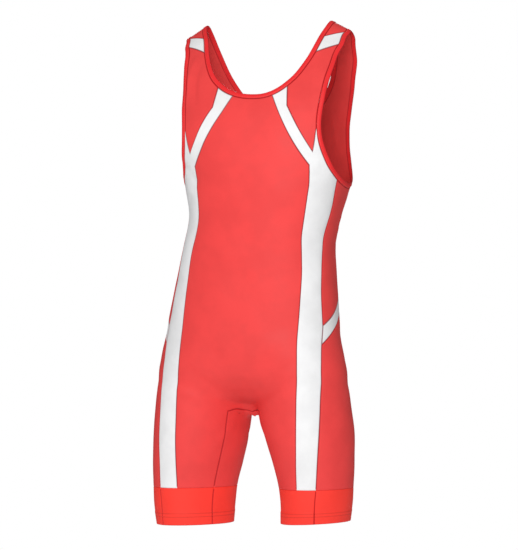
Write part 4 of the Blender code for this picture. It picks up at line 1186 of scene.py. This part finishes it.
# Each piece: whole or pair, finish, wall, its shape, and the width and length of the flat cut in metres.
PIECES = (
    ("front_panel", "whole", "body", WALL, plain_wall, 0.276, 0.735),
    ("stripe", "pair", "stripe", WALL, plain_wall, 0.118, 0.735),
    ("chest_yoke", "pair", "body", WALL, plain_wall, 0.075, 0.213),
    ("strap_patch", "pair", "stripe", WALL, plain_wall, 0.040, 0.036),
    ("back_panel", "whole", "body", WALL, plain_wall, 0.500, 0.585),
    ("hip_band", "pair", "stripe", WALL, plain_wall, 0.034, 0.263),
    ("seat_leg", "pair", "body", WALL, plain_wall, 0.296, 0.377),
    ("gusset", "whole", "body", WALL, plain_wall, 0.106, 0.379),
    ("leg_band_front", "pair", "leg band", WALL, hem_wall, 0.093, 0.069),
    ("leg_band_back", "pair", "leg band", WALL, hem_wall, 0.215, 0.068),
    ("leg_band_inner", "pair", "leg band", WALL, hem_wall, 0.082, 0.067),
    ("neck_binding", "whole", "binding", BINDING_WALL, crowned_wall, 0.0105, 0.920),
    ("armhole_binding", "pair", "binding", BINDING_WALL, crowned_wall, 0.0105, 0.668),
)


def dress(name, nets, finish, wall, shape_of_wall):
    """One cloth piece: its layers, its stance, its finish, and the CAD node that it stands for."""
    points, faces, uv, seam = cloth_layers(nets, wall, shape_of_wall)
    height = points[:, 2] - HEM
    piece = mesh_piece(name + "_cloth", take_stance(points), faces, uv, seam, height, FINISHES[finish])
    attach(piece, "root")
    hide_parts(name)
    return piece


def cloth_area(piece):
    """The area of one layer: half of the closed shell's surface."""
    areas = np.empty(len(piece.data.polygons))
    piece.data.polygons.foreach_get("area", areas)
    return float(areas.sum() / 2)


worn = {}
for name, kind, finish, wall, shape_of_wall, width, length in PIECES:
    nets = cut[name]
    whole = {name: nets + mirrored(nets)}
    pair = {name + "_left": nets, name + "_right": mirrored(nets)}
    for side_name, side_nets in (whole if kind == "whole" else pair).items():
        worn[side_name] = dress(side_name, side_nets, finish, wall, shape_of_wall)
        area = cloth_area(worn[side_name])
        print(f"{side_name}: {len(worn[side_name].data.polygons)} faces, worn area {area:.4f} m2,",
              f"flat area {area / STRETCH / (width * length):.2f} of {width} x {length} m")

# %% [markdown]
# ## Stitches
#
# The hem of each leg band is held by a coverstitch, which shows two even rows of straight stitches, and
# each binding is held by one row beside its seam. A stitch is a short thread that rises out of the cloth
# and dips back into it. A tube of five rings does this: its middle rides on the cloth and its ends sink in.
# All stitches of a row are made at once as one array, so thousands of them cost little.

# %% Rows of stitches
STITCH_PITCH = 0.0029
STITCH_LENGTH = 0.0022
THREAD_RADIUS = 0.00026
RING_AT = np.array((-1.0, -0.72, 0.0, 0.72, 1.0))
RING_SIZE = np.array((0.45, 0.90, 1.0, 0.90, 0.45))
RING_LIFT = np.array((-0.9, 0.25, 0.55, 0.25, -0.9))
SIDES = 6


def on_cloth(p, wall):
    """Points on the figure moved out to the cloth's outer side, and the way out there."""
    way_out = unit(outward(p))
    return p + (cloth_relief(p) + wall)[:, None] * way_out, way_out


def evenly(path, pitch):
    """Points along a path at an even pitch, by its length, and the direction of the path there."""
    length = np.concatenate([[0], np.cumsum(np.linalg.norm(np.diff(path, axis=0), axis=1))])
    at = np.arange(pitch / 2, length[-1], pitch)
    ends = [np.stack([np.interp(at + shift, length, column) for column in path.T], -1)
            for shift in (-pitch / 3, 0, pitch / 3)]
    return ends[1], unit(ends[2] - ends[0])


def stitch_row(path, wall):
    """Points and faces of the stitches along a path on the figure. Each ring of a stitch is its centre,
    plus its size times the cosine and sine of the angle round it, across the thread and out of the cloth."""
    middle, run = evenly(path, STITCH_PITCH)
    middle, way_out = on_cloth(middle, wall)
    across = unit(np.cross(run, way_out))
    angle = np.arange(SIDES) * 2 * math.pi / SIDES
    centre = (middle[:, None] + run[:, None] * (RING_AT * STITCH_LENGTH / 2)[:, None]
              + way_out[:, None] * (RING_LIFT * THREAD_RADIUS)[:, None])
    size = (RING_SIZE * THREAD_RADIUS)[:, None, None]
    turn = (np.cos(angle)[:, None] * across[:, None, None] + np.sin(angle)[:, None] * way_out[:, None, None])
    points = centre[:, :, None] + size * turn
    count, rings = len(middle), len(RING_AT)
    number = np.arange(count * rings * SIDES).reshape(count, rings, SIDES)
    after = np.roll(number, -1, axis=2)
    sides = np.stack([number[:, :-1], after[:, :-1], after[:, 1:], number[:, 1:]], -1).reshape(-1, 4)
    caps = np.concatenate([number[:, 0, ::-1], number[:, -1]])
    return points.reshape(-1, 3), sides[:, ::-1], caps[:, ::-1]


def sew(name, rows):
    """One mesh from several rows of stitches, in the stance of the garment."""
    points, sides, caps, first = [], [], [], 0
    for row_points, row_sides, row_caps in rows:
        points.append(row_points)
        sides.append(row_sides + first)
        caps.append(row_caps + first)
        first += len(row_points)
    mesh = bpy.data.meshes.new(name)
    faces = np.concatenate(sides).tolist() + np.concatenate(caps).tolist()
    mesh.from_pydata(take_stance(np.concatenate(points)).tolist(), [], faces)
    mesh.shade_smooth()
    mesh.materials.append(thread)
    piece = bpy.data.objects.new(name, mesh)
    bpy.context.scene.collection.objects.link(piece)
    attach(piece, "root")
    print(f"{name}: {sum(len(row) for row in caps) // 2} stitches")
    return piece


HEM_TURNS = 240
BINDING_STITCH = 0.0072


def hem_row(side, above_hem):
    """Once round a leg at one height above its hem."""
    height = HEM + above_hem
    angle = np.linspace(0, 2 * math.pi, HEM_TURNS + 1)
    x, y = leg_centre(height)
    ring = cast(stacked(x, y, height + 0 * angle), stacked(np.cos(angle), np.sin(angle), 0))
    return stitch_row(ring * np.array((side, 1, 1)), WALL)


def edge_row(edge, distance, side=1, wall=BINDING_WALL):
    """Once round an edge, at a distance inside it."""
    around = edge.inside(np.linspace(0, edge.around, 600), distance)
    return stitch_row(around * np.array((side, 1, 1)), wall)


stitches = {"neck_binding": sew("neck_stitches", [edge_row(neck, BINDING_STITCH)])}
for word, side in (("left", 1), ("right", -1)):
    stitches[f"armhole_binding_{word}"] = sew(
        f"armhole_stitches_{word}", [edge_row(arm, BINDING_STITCH, side)])
    stitches[f"leg_band_front_{word}"] = sew(
        f"hem_stitches_{word}", [hem_row(side, above) for above in HEM_LINES])

# %% [markdown]
# ## What each sheet is
#
# A binding is a straight strip, so its flat area would be its width times its length; none is worked out for
# it here. The panels aren't rectangles, and there is no paper pattern of them to measure, so a panel's flat
# area is worked out as its worn area divided by an assumed stretch, and not used further. Compared with the
# worn area, it could only give back the stretch that was put in here. The stitches are listed with the piece
# that they go through.

for name, kind, finish, wall, shape_of_wall, width, length in PIECES:
    for side_name in (name,) if kind == "whole" else (name + "_left", name + "_right"):
        area = None if finish == "binding" else cloth_area(worn[side_name]) / STRETCH
print("sheets declared:", len(worn))

# %% [markdown]
# ## Floor, light and camera
#
# The garment hangs from its mount over a plain pale floor, in a bright room of even light. One large soft
# lamp in front makes the middle of the chest and the thighs bright and lets the sides fall off a little, as
# in a studio. The camera stands far off with a long lens, level with the waist and a little to the
# garment's left.

# %% Floor and lights
FLOOR_HEIGHT = -1.50
FLOOR_RADIUS = 2.8
FLOOR_SIDES = 96


def plain(name, colour, roughness):
    made = bpy.data.materials.new(name)
    made.use_nodes = True
    shader = made.node_tree.nodes["Principled BSDF"]
    shader.inputs["Base Color"].default_value = (*colour, 1)
    shader.inputs["Roughness"].default_value = roughness
    return made


round_floor = np.arange(FLOOR_SIDES) * 2 * math.pi / FLOOR_SIDES
rim_points = stacked(FLOOR_RADIUS * np.cos(round_floor), FLOOR_RADIUS * np.sin(round_floor), FLOOR_HEIGHT)
floor_mesh = bpy.data.meshes.new("floor")
floor_mesh.from_pydata(rim_points.tolist(), [], [tuple(range(FLOOR_SIDES))])
floor_mesh.materials.append(plain("pale floor", (0.93, 0.93, 0.93), 0.9))
floor = bpy.data.objects.new("floor", floor_mesh)
bpy.context.scene.collection.objects.link(floor)

bpy.context.scene.view_settings.view_transform = "Standard"
# The room is white to the camera, pale as a light, and dim in a shine, so the cloth's edges stay red.
ROOM_SEEN = 1.0
ROOM_LIGHT = 0.44
ROOM_IN_SHINE = 0.10
world = bpy.data.worlds.new("bright room")
world.use_nodes = True
room_tree = world.node_tree
room = room_tree.nodes["Background"]
ray = room_tree.nodes.new("ShaderNodeLightPath")


def chosen(ray_kind, when_not, when):
    """One number for rays of a kind and another for the rest."""
    node = room_tree.nodes.new("ShaderNodeMapRange")
    room_tree.links.new(ray.outputs[ray_kind], node.inputs["Value"])
    for word, value in (("To Min", when_not), ("To Max", when)):
        if isinstance(value, float):
            node.inputs[word].default_value = value
        else:
            room_tree.links.new(value, node.inputs[word])
    return node.outputs[0]


lighting = chosen("Is Glossy Ray", ROOM_LIGHT, ROOM_IN_SHINE)
room_tree.links.new(chosen("Is Camera Ray", lighting, ROOM_SEEN), room.inputs["Strength"])
room.inputs["Color"].default_value = (1.0, 1.0, 1.0, 1)
bpy.context.scene.world = world


def aim(thing, position, target):
    """Stand a lamp or camera at a position, facing a target, with its own top up."""
    thing.location = position
    way = np.array(target, float) - np.array(position, float)
    thing.rotation_euler = (
        math.atan2(math.hypot(way[0], way[1]), -way[2]), 0, math.atan2(-way[0], way[1]))


def soft_lamp(name, azimuth, height, distance, size, power):
    """A square lamp that faces the waist. The azimuth turns from the front towards the garment's left."""
    lamp = bpy.data.lights.new(name, "AREA")
    lamp.size, lamp.energy = size, power
    thing = bpy.data.objects.new(name, lamp)
    bpy.context.scene.collection.objects.link(thing)
    turn = math.radians(azimuth)
    aim(thing, (distance * math.sin(turn), -distance * math.cos(turn), height), (0, 0, -0.45))
    return thing


soft_lamp("front lamp", 12, 0.25, 2.6, 1.1, 49)
soft_lamp("back lamp", 200, 0.8, 3.2, 1.6, 40)

# %% Camera
PHOTO_AZIMUTH = math.radians(20)
DISTANCE = 4.5
METRES_PER_PIXEL = 0.00183
PHOTO_HEIGHT = 550
SENSOR = 36.0
AIM_RIGHT, AIM_HEIGHT = -0.0018, -0.452

camera = bpy.data.cameras.new("camera")
camera.sensor_fit = "VERTICAL"
camera.sensor_height = SENSOR
camera.lens = SENSOR * DISTANCE / (METRES_PER_PIXEL * PHOTO_HEIGHT)
viewer = bpy.data.objects.new("camera", camera)
bpy.context.scene.collection.objects.link(viewer)
right = np.array((math.cos(PHOTO_AZIMUTH), math.sin(PHOTO_AZIMUTH), 0))
towards = np.array((math.sin(PHOTO_AZIMUTH), -math.cos(PHOTO_AZIMUTH), 0))
target = AIM_RIGHT * right + np.array((0, 0, AIM_HEIGHT))
aim(viewer, target + DISTANCE * towards, target)
bpy.context.scene.camera = viewer
print(f"lens {camera.lens:.1f} mm at {DISTANCE} m")

# %% Finish
bpy.context.view_layer.update()
